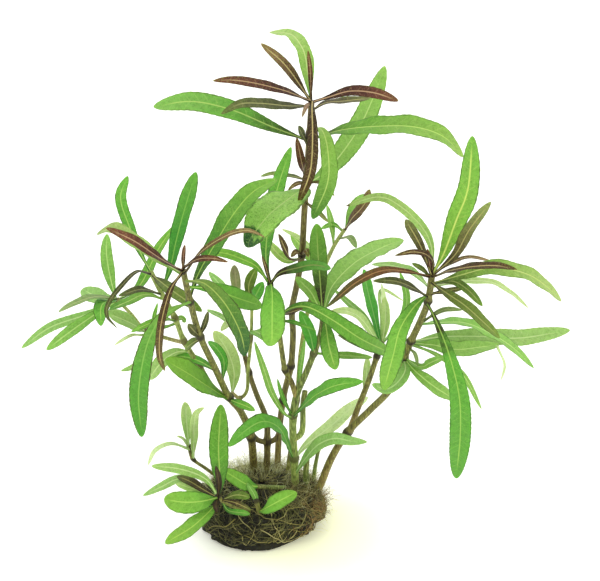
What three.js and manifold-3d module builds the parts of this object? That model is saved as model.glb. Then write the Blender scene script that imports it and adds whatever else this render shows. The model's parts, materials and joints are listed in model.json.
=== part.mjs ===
// Hygrophila araguaia: a bushy aquarium stem plant standing on its own root plug.
// Millimetres, +Z up. The origin is the centre of the plug's flat underside, and
// the plant is seen along +Y, so "near" below is a distance towards -Y.
import * as THREE from "three";
import Module from "manifold-3d";

// Driving dimensions
const PLUG_RADIUS = 22;
const PLUG_HEIGHT = 14;
const PLUG_LUMP = 0.5;
const PLUG_RISE = 0.54;
const PLUG_RISE_WAVES = 5;
const PLUG_TOP_RISE = 1;
const PLUG_SIDES = 22;
const PLUG_LEVELS = [[0, 0.9], [1.6, 0.97], [5.5, 1], [10, 1.01], [13, 0.9], [14.4, 0.55]];
const WORN_DEPTH = 3.2;
const WORN_HEIGHT = 5;
const WORN_TURN = 0.5;
const ROOTED_DEPTH = 7;
const ROOTED_LEAN = 0.82;
const GAP = 0.3;
const SAME_PLACE = 1e-6;
const HALF_WAY = 0.5;
const CURVE_TENSION = 0.5;
const STEM_SIDES = 5;
const NODE_SWELL = 0.38;
const NODE_LENGTH = 1.5;
const BLADE_THICKNESS = 0.9;
const TIP_THICKNESS = 0.5;
const BLADE_SEGMENTS = 6;
const SMALL_SEGMENTS = 4;
const SHORT_SEGMENTS = 3;
const SHORT_POINTS = 3;
const PETIOLE_WIDTH = 1.1;
const BASE_TAPER = 1.1;
const TIP_POWER = 2.3;
const TIP_ROOT = 0.58;
const PETIOLE_TAPER = 0.85;
const TIP_CROWDING = 0.8;
const BLADE_FOLD = 0.16;
const PEAK_PLACE = 0.58;
const EDGE_CLEARANCE = 1.6;
const TIP_CLEARANCE = 2;

// Lumps around the plug: waves in a turn, their twist with each millimetre up, start and share
const PLUG_WAVES = [[3, 0.4, 0, 1], [8, -0.9, 1, 0.7]];

// Blades face the eye and the sky and roll about their midribs, each by its own amount
const SKYWARD = 0.6;
const LEAST_FACING = 0.6;
const ROLL_SPREAD = 24;
const ROLL_STEP = 2.4;

// How much farther than their nominal depths the blades and the crowns reach
const LEAF_DEPTH_GAIN = 1.5;
const CROWN_DEPTH_GAIN = 0.25;
const CROWN_DEPTH_FROM = 480;
const CROWN_DEPTH_OVER = 200;

// The photograph's view: places are read as pixels across and down, with a depth
const PHOTO_CENTRE = new THREE.Vector3(14.2, 0, 95.4);
const PHOTO_MIDDLE_ACROSS = 300;
const PHOTO_MIDDLE_DOWN = 290.5;
const MM_PER_PIXEL = 0.36;
const VIEW_DISTANCE = 900;
const VIEW_ELEVATION = THREE.MathUtils.degToRad(25);

const towardsCamera = new THREE.Vector3(0, -Math.cos(VIEW_ELEVATION), Math.sin(VIEW_ELEVATION));
const cameraPlace = PHOTO_CENTRE.clone().addScaledVector(towardsCamera, VIEW_DISTANCE);

const wasm = await Module();
wasm.setup();

const tones = {
  green: 0x4f9a34,
  light: 0x8fc25a,
  pale: 0x9cc878,
  lime: 0xa5c95e,
  deep: 0x2f7a3a,
  teal: 0x3f9348,
  olive: 0x5d6a2c,
  bronze: 0x6b4a2a,
  brown: 0x4a3020,
  red: 0x7c3b2a,
  pink: 0xa8756a,
};

// Stems: radii at the foot and the top, and the swollen nodes as points of the path
const stem = (name, radii, nodes, path, more = {}) => ({ name, radii, nodes, path, ...more });

const stems = [
  stem("tall", [1.15, 1.05], [2, 4, 6, 8, 10, 11], [
    [277, 474, -14], [279, 434, -12], [283, 400, -10], [287, 382, -9], [291, 366, -8], [293, 335, -7],
    [292, 310, -5], [297, 284, -3], [302, 254, -2], [304, 218, 0], [306.5, 180, 1], [309.5, 135, 3],
    [311.5, 102, 4],
  ]),
  stem("centre_right", [1.5, 0.95], [1, 3, 6, 8], [
    [295, 492, -2], [294, 457, 2], [293, 436, 4], [293, 415, 6], [297, 394, 7], [306, 373, 9],
    [314, 353, 11], [321, 332, 12], [323, 313, 13],
  ]),
  stem("right_back", [0.9, 0.7], [2, 4, 5], [
    [286, 482, -10], [292, 440, -14], [297, 400, -18], [301, 350, -24], [310, 303, -29],
    [324, 268, -32], [334, 246, -34], [345, 229, -36],
  ]),
  stem("left_front", [1.5, 1.0], [1, 3, 5, 6], [
    [254, 474, -14], [251, 437, -4], [241, 412, 4], [229, 397, 10], [215, 368, 18],
    [200, 336, 26], [190, 301, 32], [183, 270, 36],
  ]),
  stem("right_front", [1.4, 1.1], [2, 5, 6, 8], [
    [319, 488, 0], [331.5, 458, 4], [348, 432, 8], [370, 410, 13], [391, 388, 18],
    [404, 358, 23], [411, 341, 25], [421, 320, 28], [428, 301, 31], [432, 275, 36],
  ]),
  stem("middle", [1.3, 0.75], [1, 4, 5], [
    [266.5, 480, -11], [267.3, 441, -10], [266, 418, -9], [256, 393, -6], [249, 372, -4],
    [242, 343, -2], [238, 308, 0],
  ]),
  stem("low_left", [0.8, 0.9], [3], [[250, 513, 17], [236, 507, 22], [223, 501, 27], [217.5, 496, 29]]),
  stem("low_front", [1.0, 0.8], [2], [[261, 517, 17], [259, 511, 19], [256, 500, 19]]),
  stem("low_back_left", [0.7, 0.6], [2, 3], [
    [228, 486, -6], [208, 470, -3], [193, 459, -1], [188.5, 445, 0],
  ]),
  stem("centre", [1.0, 0.8], [2, 4, 5], [
    [296, 396, 7], [291, 381, 9], [285, 370, 11], [281, 345, 14], [277, 316, 17], [270, 283, 20],
  ], { parent: "centre_right" }),
  stem("left_back", [0.9, 0.9], [2, 3, 4], [
    [227, 398, 9], [212, 386, 7], [199, 365, 8], [184, 341, 8], [175, 318, 6], [161, 292, 4],
    [150.5, 271, 2],
  ], { parent: "left_front" }),
  stem("right_middle", [1.1, 0.9], [3], [
    [349, 432, 8], [358, 408, 4], [369, 380, 1], [377, 356, -1], [382, 341, -3],
  ], { parent: "right_front" }),
  stem("middle_left", [0.7, 0.6], [1, 4], [
    [232, 393, 9], [240, 398, 6], [247, 390, 3], [248, 370, 3], [251, 338, 5], [252, 303, 4],
  ], { parent: "left_front" }),
  stem("far_left", [0.75, 0.65], [2, 4], [
    [185, 343, 8], [166, 338, 2], [146, 331, -3], [131, 314, -8], [117, 299, -12],
  ], { parent: "left_back" }),
];

// Leaves: the width seen in pixels and the midrib from the base to the tip
const leaf = (name, on, width, tone, path, more = {}) => ({ name, on, width, tone, path, ...more });

// Each of these leaves is a piece of its own
const leaves = [
  leaf("tall_top_arch", "tall", 14, "lime", [
    [311, 101, 4], [308.5, 80, 2], [305.5, 58, -1], [300.8, 45.5, -4], [290.5, 34.2, -9], [269.5, 32, -15]],
  { peak: 0.36, turn: 12 }),
  leaf("tall_bronze_upper", "tall", 10, "bronze", [[310, 100, 5], [285.8, 65.8, 9], [261, 43.5, 11]]),
  leaf("tall_red_left", "tall", 9.5, "red", [
    [310, 101, 5], [286, 91.2, 11], [255, 83.2, 16], [231, 80, 18.5], [213, 80.8, 20]]),
  leaf("tall_red_right", "tall", 11.5, "red", [
    [313, 102, 4], [329, 97, 3], [350, 91.2, 1], [374, 92.8, -1], [398.5, 100.8, -3]]),
  leaf("tall_brown_front", "tall", 12, "brown", [
    [312, 102, 5], [312, 112, 11], [312.5, 140, 16], [310, 172, 15], [298.5, 203, 13]]),
  leaf("tall_big_left", "tall", 20, "green", [
    [308, 140.5, 3], [272, 126.8, 4], [232, 110, 5], [192, 101.5, 4], [153.4, 106.6, 1]],
  { peak: 0.62 }),
  leaf("tall_big_right", "tall", 17.5, "green", [
    [311, 139.5, 4], [340, 130.5, 10], [376, 126.5, 15],
    [414, 127, 19], [443, 136.5, 20], [463.5, 156.5, 18]]),
  leaf("tall_light_back", "tall", 24, "light", [
    [307, 184, 0], [324, 173, -7], [342, 153, -14], [360, 126, -20], [373, 98, -24], [385, 66, -26]]),
  leaf("tall_drooping_right", "tall", 17.5, "green", [
    [312, 129, 4], [322, 130.5, 9], [327.8, 151, 13.5], [327.5, 183, 14], [312.5, 219, 10.5]],
  { turn: -14 }),
  leaf("tall_wide_speckled", "tall", 32, "light", [
    [306, 188, 2], [293, 196, 9], [271, 213, 15], [257, 229.5, 18], [245, 246, 18]], { peak: 0.5 }),
  leaf("left_red", "left_front", 9, "red", [
    [182, 271, 36], [160, 258.5, 42], [134, 241, 46], [106, 228, 48]]),
  leaf("left_light_under", "left_front", 14, "lime", [
    [181, 274, 35], [160, 260, 35], [137, 243, 36], [114.5, 229, 36], [97, 233.5, 33]]),
  leaf("left_brown_drooping", "left_front", 8, "brown", [
    [182, 273, 37], [170, 291, 44], [161, 325, 48], [159.5, 355, 47], [165, 371, 45]], { peak: 0.5 }),
  leaf("left_arch_right", "left_front", 18, "green", [
    [186, 281, 36], [205, 284, 40], [225, 304, 43], [240, 332, 43], [245.6, 355.6, 40]]),
  leaf("left_wide_behind", "left_front", 19, "green", [
    [188, 287, 33], [212, 289, 30], [237, 298, 25], [262, 306, 19]]),
  leaf("left_big_upper", "left_front", 20.5, "green", [
    [190, 298, 32], [198, 275, 31], [214, 246, 31], [233, 215, 30], [253, 192, 27], [277, 179, 23]],
  { peak: 0.62 }),
  leaf("left_big_hanging", "left_front", 20, "green", [
    [190, 302, 33], [170, 311, 38], [157, 323, 39], [145, 352, 39], [138.5, 395, 36], [142, 437, 31]]),
  leaf("left_low_wide", "left_front", 19, "green", [
    [227, 399, 11], [207, 386, 15], [188, 373.5, 18], [165, 360, 19]]),
  leaf("centre_upright", "centre", 16, "teal", [
    [270, 282, 19], [266, 258, 15], [268, 230, 9], [277, 190, 4], [291, 147, 0]], { turn: -15 }),
  leaf("centre_left_arch", "centre", 9.5, "green", [
    [269, 283, 20], [257, 267, 21], [243, 259.5, 22], [226, 253.5, 22], [203, 251, 20]]),
  leaf("centre_right_arch", "centre", 11, "deep", [
    [271, 283, 20], [280, 273, 21], [297, 268, 21], [314, 265, 19], [331, 268.5, 16]]),
  leaf("centre_front_drooping", "centre", 25.5, "light", [
    [270.5, 285, 21], [272, 293, 25], [272, 318, 27], [272, 346, 24]], { peak: 0.5 }),
  leaf("centre_long_right", "centre", 18.5, "green", [
    [278, 317, 17], [292, 308, 20], [309, 307.5, 22], [334, 321, 22], [362, 339.5, 20], [394, 354.5, 12]],
  { peak: 0.62 }),
  leaf("left_back_upper", "left_back", 11.5, "green", [
    [150.5, 272, 2], [140, 252, -2], [129, 226, -6], [120.5, 198, -9], [127.8, 176, -12]],
  { peak: 0.68, turn: 14 }),
  leaf("left_back_upright", "left_back", 16.2, "green", [
    [161, 292, 4], [170.2, 268, 3], [176.4, 240, 1], [184.4, 210, -2], [196, 172, -6]],
  { peak: 0.7, turn: -12 }),
  leaf("far_left_long", "far_left", 10, "pale", [
    [116, 301, -12], [88, 314, -16], [50, 327.5, -19], [21.5, 348, -20]]),
  leaf("far_left_second", "far_left", 12, "light", [
    [116, 302, -12], [92, 316.5, -11], [67, 334, -9], [46.5, 350, -8]]),
  leaf("centre_right_upright", "centre_right", 17.5, "green", [
    [322.5, 314, 12], [320, 280, 9], [317.6, 248, 7], [316.8, 223.6, 4]], { peak: 0.64, turn: 10 }),
  leaf("centre_right_hanging", "centre_right", 16.5, "deep", [
    [323, 318, 13], [326, 326, 15], [329, 346, 18], [335.6, 369.7, 19]]),
  leaf("centre_right_light", "centre_right", 23, "light", [
    [324, 313, 12], [332, 287, 4], [354, 263.5, -4], [378, 249.5, -12], [402.5, 239, -18]]),
  leaf("centre_right_low_right", "centre_right", 12, "green", [
    [293, 417, 6], [304, 405.5, 11], [317, 394.5, 15], [336, 385.5, 18], [363, 381.5, 18]]),
  leaf("centre_right_low_left", "centre_right", 10.5, "deep", [
    [293, 459, 2], [286, 440, 9], [278, 427, 14],
    [263, 421.5, 18.4], [245.5, 430.5, 21], [228.5, 446.5, 23]], { peak: 0.66, turn: 5 }),
  leaf("right_big_upright", "right_front", 22.5, "light", [
    [433, 273, 36], [443.5, 254, 34], [456, 221, 31], [468, 188, 28], [472.5, 136, 22]],
  { peak: 0.52, turn: 12 }),
  leaf("right_light_arch", "right_front", 10, "lime", [
    [432, 271, 35], [431.5, 247, 28], [422, 227, 22], [400, 206, 18], [378, 197, 14], [346, 206, 8]],
  { peak: 0.45 }),
  leaf("right_bronze_upper", "right_front", 10, "bronze", [
    [431, 274, 37], [420.5, 246, 40], [405.5, 219.5, 42]], { peak: 0.8 }),
  leaf("right_red_long_left", "right_front", 8, "red", [
    [430, 277, 36], [410, 272, 40], [383.6, 270.5, 43], [357, 282, 44], [327, 307, 42]]),
  leaf("right_green_right", "right_front", 15.5, "green", [
    [434, 283.5, 36], [460, 275.5, 39], [490, 268, 41], [512, 270, 42],
    [530, 275.5, 41], [546, 286, 39.5], [561.5, 301, 37]], { peak: 0.5 }),
  leaf("right_olive_down", "right_front", 12, "olive", [
    [432, 283, 36], [447, 293.5, 42], [464, 305, 45], [481, 320, 46], [500, 338, 45]]),
  leaf("right_big_down_left", "right_front", 20, "light", [
    [428, 294, 31], [414, 307, 37], [400, 329, 40], [393, 356, 40], [383.8, 390, 35]]),
  leaf("right_big_down", "right_front", 22, "green", [
    [427.5, 304.5, 33], [435, 318.5, 38], [448.3, 352, 42],
    [459, 395, 42], [460.2, 436, 38], [456, 478.5, 30]], { peak: 0.62 }),
  leaf("right_light_right", "right_front", 17, "pale", [
    [412, 342, 24], [440, 337, 15], [480, 336.5, 7], [520, 338, 1], [570, 330, -5]], { peak: 0.66 }),
  leaf("low_left_upright", "low_left", 20, "green", [
    [218, 497, 28], [220, 481, 25], [218.5, 447, 20], [221, 404.4, 13]], { peak: 0.5, turn: 8 }),
  leaf("low_left_wide", "low_left", 23, "light", [
    [216.5, 498, 30], [200, 501.5, 34], [182, 502, 35], [164, 499, 34]], { peak: 0.6 }),
  leaf("low_left_down", "low_left", 16, "light", [
    [217, 503, 30], [207, 514, 34], [190, 528.5, 36], [165, 543, 35]], { peak: 0.5 }),
  leaf("low_front_oval", "low_front", 15.5, "light", [
    [259.5, 512, 19], [269, 506.5, 23], [282, 499.5, 23], [296.5, 492, 20]]),
];

// Smaller leaves and side shoots grow out of their stem as one piece with it
const smallLeaves = [
  leaf("bud_red", "tall", 5, "red", [[311, 102, 4], [310.5, 74, 7], [308, 50.5, 8]]),
  leaf("olive_left", "tall", 10, "olive", [
    [311, 106, 4], [288, 106, 13], [262, 103.5, 19], [240, 104, 23], [221, 114, 25]], { turn: -10 }),
  leaf("bud_pink", "tall", 4.5, "pink", [[311, 102, 4], [306, 107, 9], [302, 117, 11]]),
  leaf("narrow_right", "tall", 7, "green", [
    [312, 110, 3], [326, 103, -1], [345, 101, -5], [370, 98, -9]]),
  leaf("red_bud_left", "tall", 7, "red", [[306.5, 183, 1], [302, 164, 7], [296.7, 137.7, 10]]),
  leaf("olive_back_left", "tall", 5.5, "olive", [
    [306, 179.5, 1], [290, 176, -4], [273, 174, -9], [260.5, 176, -12]]),
  leaf("brown_left", "tall", 4.5, "bronze", [[306, 182, 1], [296, 184, 5], [288, 190, 6]]),
  leaf("brown_right", "tall", 5, "bronze", [[305.5, 202, 0], [317, 211, 4], [328, 222, 6]]),
  leaf("dark_narrow", "tall", 6, "brown", [
    [302, 258, -2], [293, 260, 3], [287, 253, 6], [278.5, 234, 7]]),
  leaf("lime_left", "tall", 9, "lime", [
    [301.5, 258, -2], [289, 261, -3], [278, 254, -4], [268, 241, -5]]),

  leaf("small_red_up", "left_front", 4.5, "red", [[183, 270, 36], [183.5, 257, 38], [185, 245, 39]]),
  leaf("red_right", "left_front", 6, "red", [
    [183, 268, 36], [197, 259.5, 41], [213, 258.3, 43], [228, 262, 44]]),
  leaf("thin_arch", "left_front", 5, "bronze", [
    [184, 274, 36], [200, 253, 41], [225, 236.3, 43], [247, 230.5, 43], [265, 237, 41]]),
  leaf("pale_low", "left_front", 17, "pale", [
    [232, 396, 9], [234, 372, 5], [227, 350, 2], [214, 331, -1]]),
  leaf("dark_low", "left_front", 9, "deep", [
    [222, 383, 14], [224, 362, 12], [217, 349, 10], [208.5, 341, 7]]),
  leaf("deep_low_left", "left_front", 9, "deep", [
    [217, 372, 17], [203, 363, 13], [190, 358, 11], [173, 355, 8]]),
  leaf("short_low_right", "left_front", 8.5, "green", [
    [229, 399.5, 10], [238, 403, 13], [247, 406.5, 15], [255, 410.5, 16]]),
  leaf("bud_right", "left_front", 6, "deep", [[200, 336, 26], [205, 323, 27], [208, 311.5, 27]]),
  leaf("bud_left", "left_front", 7, "olive", [[200, 337, 26], [194, 331, 29], [188, 324, 30]]),
  leaf("short_left", "left_front", 8, "green", [[201, 339, 26], [193, 343, 24], [185, 349, 22]]),

  leaf("dark_bud", "centre", 4, "brown", [[270, 284, 20], [266, 268, 22], [262, 256, 23]]),
  leaf("brown_narrow", "centre", 4, "brown", [[277.5, 317, 17], [287, 313.5, 23], [303, 308.5, 27]]),
  leaf("teal_narrow", "centre", 4, "teal", [
    [277.5, 320, 17], [292, 322, 21], [304, 326, 22], [316, 330.5, 22]]),

  leaf("dark_arch", "left_back", 5, "olive", [
    [151, 274, 2], [137, 271.5, 9], [121.5, 285.5, 15],
    [108.5, 303, 19], [107, 316, 19], [117, 328, 17]]),
  leaf("dark_left", "left_back", 5.5, "olive", [[161, 294, 4], [141, 289.5, 10], [118.5, 296, 13]]),
  leaf("green_left", "left_back", 8.5, "green", [
    [163, 299, 4], [145, 294.5, 5], [127, 302, 7], [109, 309.5, 7]]),
  leaf("pale_behind", "left_back", 13, "pale", [
    [190, 351, 8], [175, 353, 5], [161, 363, 2], [149, 379, -1]]),
  leaf("olive_down", "left_back", 13, "olive", [
    [152, 275, 2], [166, 286, 9], [184, 299, 14], [202, 311.5, 16]]),
  leaf("narrow_low", "left_back", 6.5, "teal", [
    [176, 321, 6], [164, 319, 10], [147, 324.5, 13], [131, 332, 13]]),
  leaf("short_low", "left_back", 5.5, "teal", [[176, 321, 6], [181, 318, 4], [186, 322, 3]]),
  leaf("small_low_up", "left_back", 5, "green", [
    [177, 323, 6], [163, 327, 4], [154.5, 320, 2], [157.5, 303, 0]]),

  leaf("upright", "far_left", 13, "green", [
    [116, 300, -12], [110, 276, -17], [106.5, 254, -21], [107, 234, -24]]),
  leaf("blunt", "far_left", 17, "pale", [
    [117, 301, -12], [103, 300, -17], [92, 294.5, -21], [82, 289, -24]], { peak: 0.62 }),
  leaf("short_down", "far_left", 11, "teal", [
    [116, 300, -12], [102, 305, -5], [101, 326, -2]], { peak: 0.4 }),
  leaf("dark_arch", "far_left", 6, "olive", [
    [117, 299, -12], [95, 296.8, -6], [75, 303, -3], [58.5, 312, -1]]),
  leaf("pale_right", "far_left", 14, "pale", [[146, 332, -3], [128, 322, 0], [107, 313, 2]]),
  leaf("pale_low", "far_left", 7, "pale", [
    [146, 332, -3], [145, 350, -9], [136, 365, -12], [121, 371, -13]]),
  leaf("narrow_behind", "far_left", 10, "green", [
    [118, 300, -12], [139.5, 286, -19], [158, 250, -26], [175, 225, -30]]),

  leaf("teal_node", "centre_right", 13, "teal", [
    [314, 354, 11], [311, 338, 13], [306, 324, 13], [300, 311, 12]]),
  leaf("narrow_right", "centre_right", 7, "deep", [
    [314, 353, 11], [330, 354.5, 12], [350, 356, 11], [372.5, 357.4, 9]]),
  leaf("teal_upper", "centre_right", 12, "teal", [
    [322.5, 315, 13], [312, 294, 10], [304, 285, 7], [296, 277, 5]]),
  leaf("thin_left", "centre_right", 7, "green", [
    [293, 418, 6], [284, 413, 9], [272, 393, 10], [264.8, 372, 10], [254.5, 341.3, 8]]),
  leaf("dark_sliver", "centre_right", 4.5, "deep", [[293, 417, 6], [283, 398, 10], [277.4, 379, 12]]),
  leaf("pale_low_right", "centre_right", 13, "pale", [
    [294, 460, 2], [304, 447, 3], [318, 436, 3], [334, 423.5, 1], [350, 409, -1], [368, 397, -4]]),
  leaf("green_low_right", "centre_right", 11, "light", [
    [295, 474, 0], [306, 458, 6], [318, 445, 11], [334, 438.5, 14], [351, 441, 15], [367, 442, 15]],
  { turn: 8 }),
  leaf("olive_upright", "centre_right", 5, "olive", [[297, 395, 7], [301.5, 362, 8], [305, 338, 8]]),
  leaf("low_wide_left", "centre_right", 15.5, "green", [
    [259, 487, 8.5], [247, 484.5, 11], [235, 477.5, 12.5], [222, 469.5, 13]], { peak: 0.5 }),

  leaf("wide_back", "right_back", 16, "light", [
    [345, 230, -36], [352, 215, -39], [359.5, 204.5, -42], [368, 195, -45]]),
  leaf("brown_front", "right_back", 9.5, "bronze", [
    [345, 230, -36], [352.5, 218, -33], [360.5, 209.5, -32], [367, 200, -31.5], [369.8, 189.5, -31]]),
  leaf("thin_right", "right_back", 5, "olive", [[340, 238, -35], [350, 238, -31], [356.5, 248, -29]]),
  leaf("thin_left", "right_back", 5, "green", [[343, 231, -36], [333, 224.5, -39], [321, 228.5, -41]]),
  leaf("light_vertical", "right_back", 6, "light", [[334, 246, -34], [331, 222, -39], [327, 205, -42]]),
  leaf("pale_left", "right_back", 12, "pale", [[324, 269, -32], [309, 255, -37], [291, 234, -42]]),
  leaf("pale_upper_left", "right_back", 5, "pale", [[326, 264, -32], [302, 240, -33], [282, 229, -34]]),

  leaf("purple_bud", "right_front", 7, "red", [[432, 275, 36], [429, 261, 38], [427.5, 249, 38]]),
  leaf("bronze_right_up", "right_front", 12, "bronze", [
    [432, 276, 36], [455, 255, 37], [470, 229, 39], [491, 202, 40]], { peak: 0.6 }),
  leaf("brown_left_high", "right_front", 5, "brown", [
    [432, 273, 36], [433, 262, 39], [425, 254, 41.5], [412, 252, 42.5], [395, 255.5, 43]]),
  leaf("olive_left", "right_front", 6.5, "olive", [
    [428.5, 297, 32], [410, 286.5, 37], [394, 281, 40], [373, 281, 41]]),
  leaf("dark_right", "right_front", 7.5, "brown", [
    [432, 277, 36], [448, 271.3, 42], [472, 266.8, 47], [496, 265.7, 50], [517, 269.4, 51]]),
  leaf("brown_behind_right", "right_front", 4.5, "bronze", [
    [432, 274, 36], [452, 262.5, 32], [469, 257.3, 31], [492, 261, 29]]),
  leaf("yellow_right", "right_front", 7, "lime", [
    [431, 287, 34], [460, 281.5, 26], [490, 282, 23], [510, 292, 21], [528.6, 308, 19]], { peak: 0.4 }),
  leaf("short_right", "right_front", 8.5, "green", [
    [431, 284, 34], [452, 281, 32], [468, 290, 33], [482.5, 306, 33]]),
  leaf("bud_left", "right_front", 5, "green", [[431.5, 278, 35], [422, 269, 37], [412, 263.5, 39]]),
  leaf("brown_low_right", "right_front", 6, "bronze", [[430, 294, 33], [446, 291, 32], [464, 288, 32]]),
  leaf("bronze_low_right", "right_front", 5, "bronze", [
    [424, 321, 28], [434, 314.5, 29], [446, 309.5, 30], [462, 310, 31]]),
  leaf("light_arch_right", "right_front", 10, "light", [
    [421, 324, 28], [445, 322.5, 20], [466, 323.3, 15], [490, 333.3, 12], [512, 347, 9], [534, 368, 7]],
  { peak: 0.5 }),
  leaf("mid_right", "right_front", 15, "green", [
    [411, 344, 25], [432, 345, 24], [456, 349.5, 22], [478, 347.5, 20], [499, 344.5, 18]],
  { peak: 0.5 }),
  leaf("low_right", "right_front", 13, "light", [
    [404, 359, 23], [416, 372, 26], [434, 386.5, 26], [454, 399, 24]]),
  leaf("teal_low_right", "right_front", 6, "teal", [
    [410, 344, 25], [437, 355, 21], [463, 375, 18], [481.5, 409, 17]]),
  leaf("narrow_low_right", "right_front", 7, "green", [
    [405, 358, 23], [420, 367, 28], [432, 362, 29], [446, 356, 28]]),
  leaf("pale_low_left", "right_front", 13, "pale", [
    [404, 360, 23], [405, 371, 28], [397, 383, 31], [386, 389, 31], [372, 384, 29]], { peak: 0.5 }),
  leaf("pale_far_left", "right_front", 8, "pale", [
    [430, 288, 34], [412, 272, 24], [393, 266, 17], [372, 264, 10]]),

  leaf("tall_upright", "right_middle", 11, "teal", [
    [381, 346, -3], [374.5, 318, -2], [368, 292, 0], [363.4, 269.4, 2]]),
  leaf("thin_upright", "right_middle", 6, "light", [
    [382, 345, -3], [385, 312, -8], [381.4, 283.6, -10]]),
  leaf("wide_upright", "right_middle", 10, "light", [
    [382, 346, -3], [385.5, 320, -2], [384.8, 297, -1]]),
  leaf("curved_right", "right_middle", 7, "green", [
    [382, 344, -3], [401, 320, -10], [407, 298, -13], [400, 272, -15]]),
  leaf("narrow_up_left", "right_middle", 7, "teal", [
    [381, 344, -3], [366, 319, -9], [350, 304, -13], [334.5, 290, -16]]),
  leaf("pale_left", "right_middle", 8, "pale", [
    [380, 347, -2], [363, 321, 3], [348, 311.5, 5], [330, 311.5, 6]]),
  leaf("pale_strip", "right_middle", 8, "lime", [
    [364, 394, 0], [366, 380, -4], [367, 368, -6], [367.5, 357, -8]]),
  leaf("dark_left", "right_middle", 4.5, "deep", [
    [378, 353, -1], [365, 348, 5], [352, 342, 8], [338, 335, 10]]),

  leaf("purple_blunt", "middle", 10, "pink", [
    [238, 309, 0], [236.5, 290, -1], [234.5, 265, -1]], { peak: 0.7 }),
  leaf("pale_upper_left", "middle", 9, "pale", [[238, 311, 0], [225, 291, -6], [209, 272, -11]]),
  leaf("pale_narrow_left", "middle", 5.5, "pale", [
    [238.5, 326, 0], [229, 321.5, -3], [219, 315.5, -6], [207, 309.5, -9]]),
  leaf("light_low_left", "middle", 6, "light", [[239, 321, -1], [230, 322, 3], [221, 331, 5]]),

  leaf("olive_upright", "middle_left", 11, "olive", [[252, 304, 4], [248.5, 286, 2], [256, 268, 0]]),
  leaf("teal_short", "middle_left", 11, "teal", [[252, 304, 4], [257, 293, 7], [263, 282, 8]]),
  leaf("green_low", "middle_left", 10, "green", [[251, 331, 5], [259, 333, 9], [270, 342, 12]]),

  leaf("dark_upright", "low_left", 6.5, "brown", [[217.5, 498, 29], [219, 484, 32], [216, 466, 34]]),
  leaf("dark_down", "low_left", 6, "brown", [[218, 497, 28], [216, 505, 33], [217, 513, 34]]),
  leaf("pale_upper", "low_left", 10, "pale", [
    [218, 496, 28], [205, 478.5, 24], [180, 469, 22], [151.5, 466, 20]]),
  leaf("pale_left", "low_left", 9, "light", [
    [219, 498, 28], [200, 487, 22], [180, 479, 17], [161, 487, 15], [143, 495.6, 14]]),
  leaf("olive_up_left", "low_left", 9, "olive", [
    [218, 498, 28], [204, 490, 24], [190, 481.5, 20], [177, 476, 16]]),
  leaf("lime_left", "low_left", 9, "lime", [[219, 499, 28], [198, 490.5, 23], [176, 483.5, 19]]),
  leaf("olive_right", "low_left", 9, "olive", [[222, 500, 27], [236, 495, 25], [250, 497, 23]]),
  leaf("green_right", "low_left", 7, "green", [
    [222, 502, 27], [228, 510.5, 28], [238, 512.5, 28], [250, 513.5, 26]]),
  leaf("olive_low_right", "low_left", 6, "olive", [[223, 500, 28], [236, 503, 31], [251, 510, 30]]),

  leaf("back", "low_front", 7, "green", [[258, 509, 19], [255, 496, 17], [247, 483, 15]]),

  leaf("light_up", "low_back_left", 11, "lime", [
    [188.5, 446, 0], [187, 428, -1], [185, 402, -4]], { peak: 0.66 }),
  leaf("curved_up", "low_back_left", 8.5, "light", [
    [193, 459, -1], [193.8, 440, 2], [194, 424, 4], [196.5, 413, 5], [204, 407.5, 5]]),
  leaf("thin_arch", "low_back_left", 4.5, "lime", [
    [189, 449, 0], [171, 443.5, 5], [155, 450.5, 8], [148, 465, 9]], { peak: 0.72 }),
];

// Short cut ends and one thin shoot, as thin tubes that grow from a stem or the plug
const shoot = (on, radii, path) => ({ on, radii, path });

const shoots = [
  shoot("centre_right", [1.1, 1.0], [[293, 440, 4], [302, 431, 2], [303, 405, 2], [305, 391, 2]]),
  shoot("root_plug", [1.2, 1.0], [[306, 490, -3], [306, 472, -2], [307, 457, -1]]),
  shoot("centre_right", [0.9, 0.8], [[293, 488, -2], [275, 487.5, 4], [257, 486.5, 9]]),
  shoot("root_plug", [0.9, 0.5], [[312, 487, -6], [316, 462, -5], [321.5, 445, -4], [341, 421, -2]]),
];

// A pixel of the photograph at a depth becomes a place in the part's frame. The crowns
// spread nearer and farther than the foot, as far as they spread to the sides.
function spot([across, down, nominalNear]) {
  const height = THREE.MathUtils.clamp((CROWN_DEPTH_FROM - down) / CROWN_DEPTH_OVER, 0, 1);
  const near = nominalNear * (1 + CROWN_DEPTH_GAIN * height);
  const scale = MM_PER_PIXEL / VIEW_DISTANCE;
  const right = (across - PHOTO_MIDDLE_ACROSS) * scale;
  const up = (PHOTO_MIDDLE_DOWN - down) * scale;
  const sine = Math.sin(VIEW_ELEVATION);
  const cosine = Math.cos(VIEW_ELEVATION);
  const ray = new THREE.Vector3(right, cosine + sine * up, cosine * up - sine);
  const reach = (-near - cameraPlace.y) / ray.y;
  return cameraPlace.clone().addScaledVector(ray, reach);
}

const curveThrough = (points) => new THREE.CatmullRomCurve3(points, false, "catmullrom", CURVE_TENSION);

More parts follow.
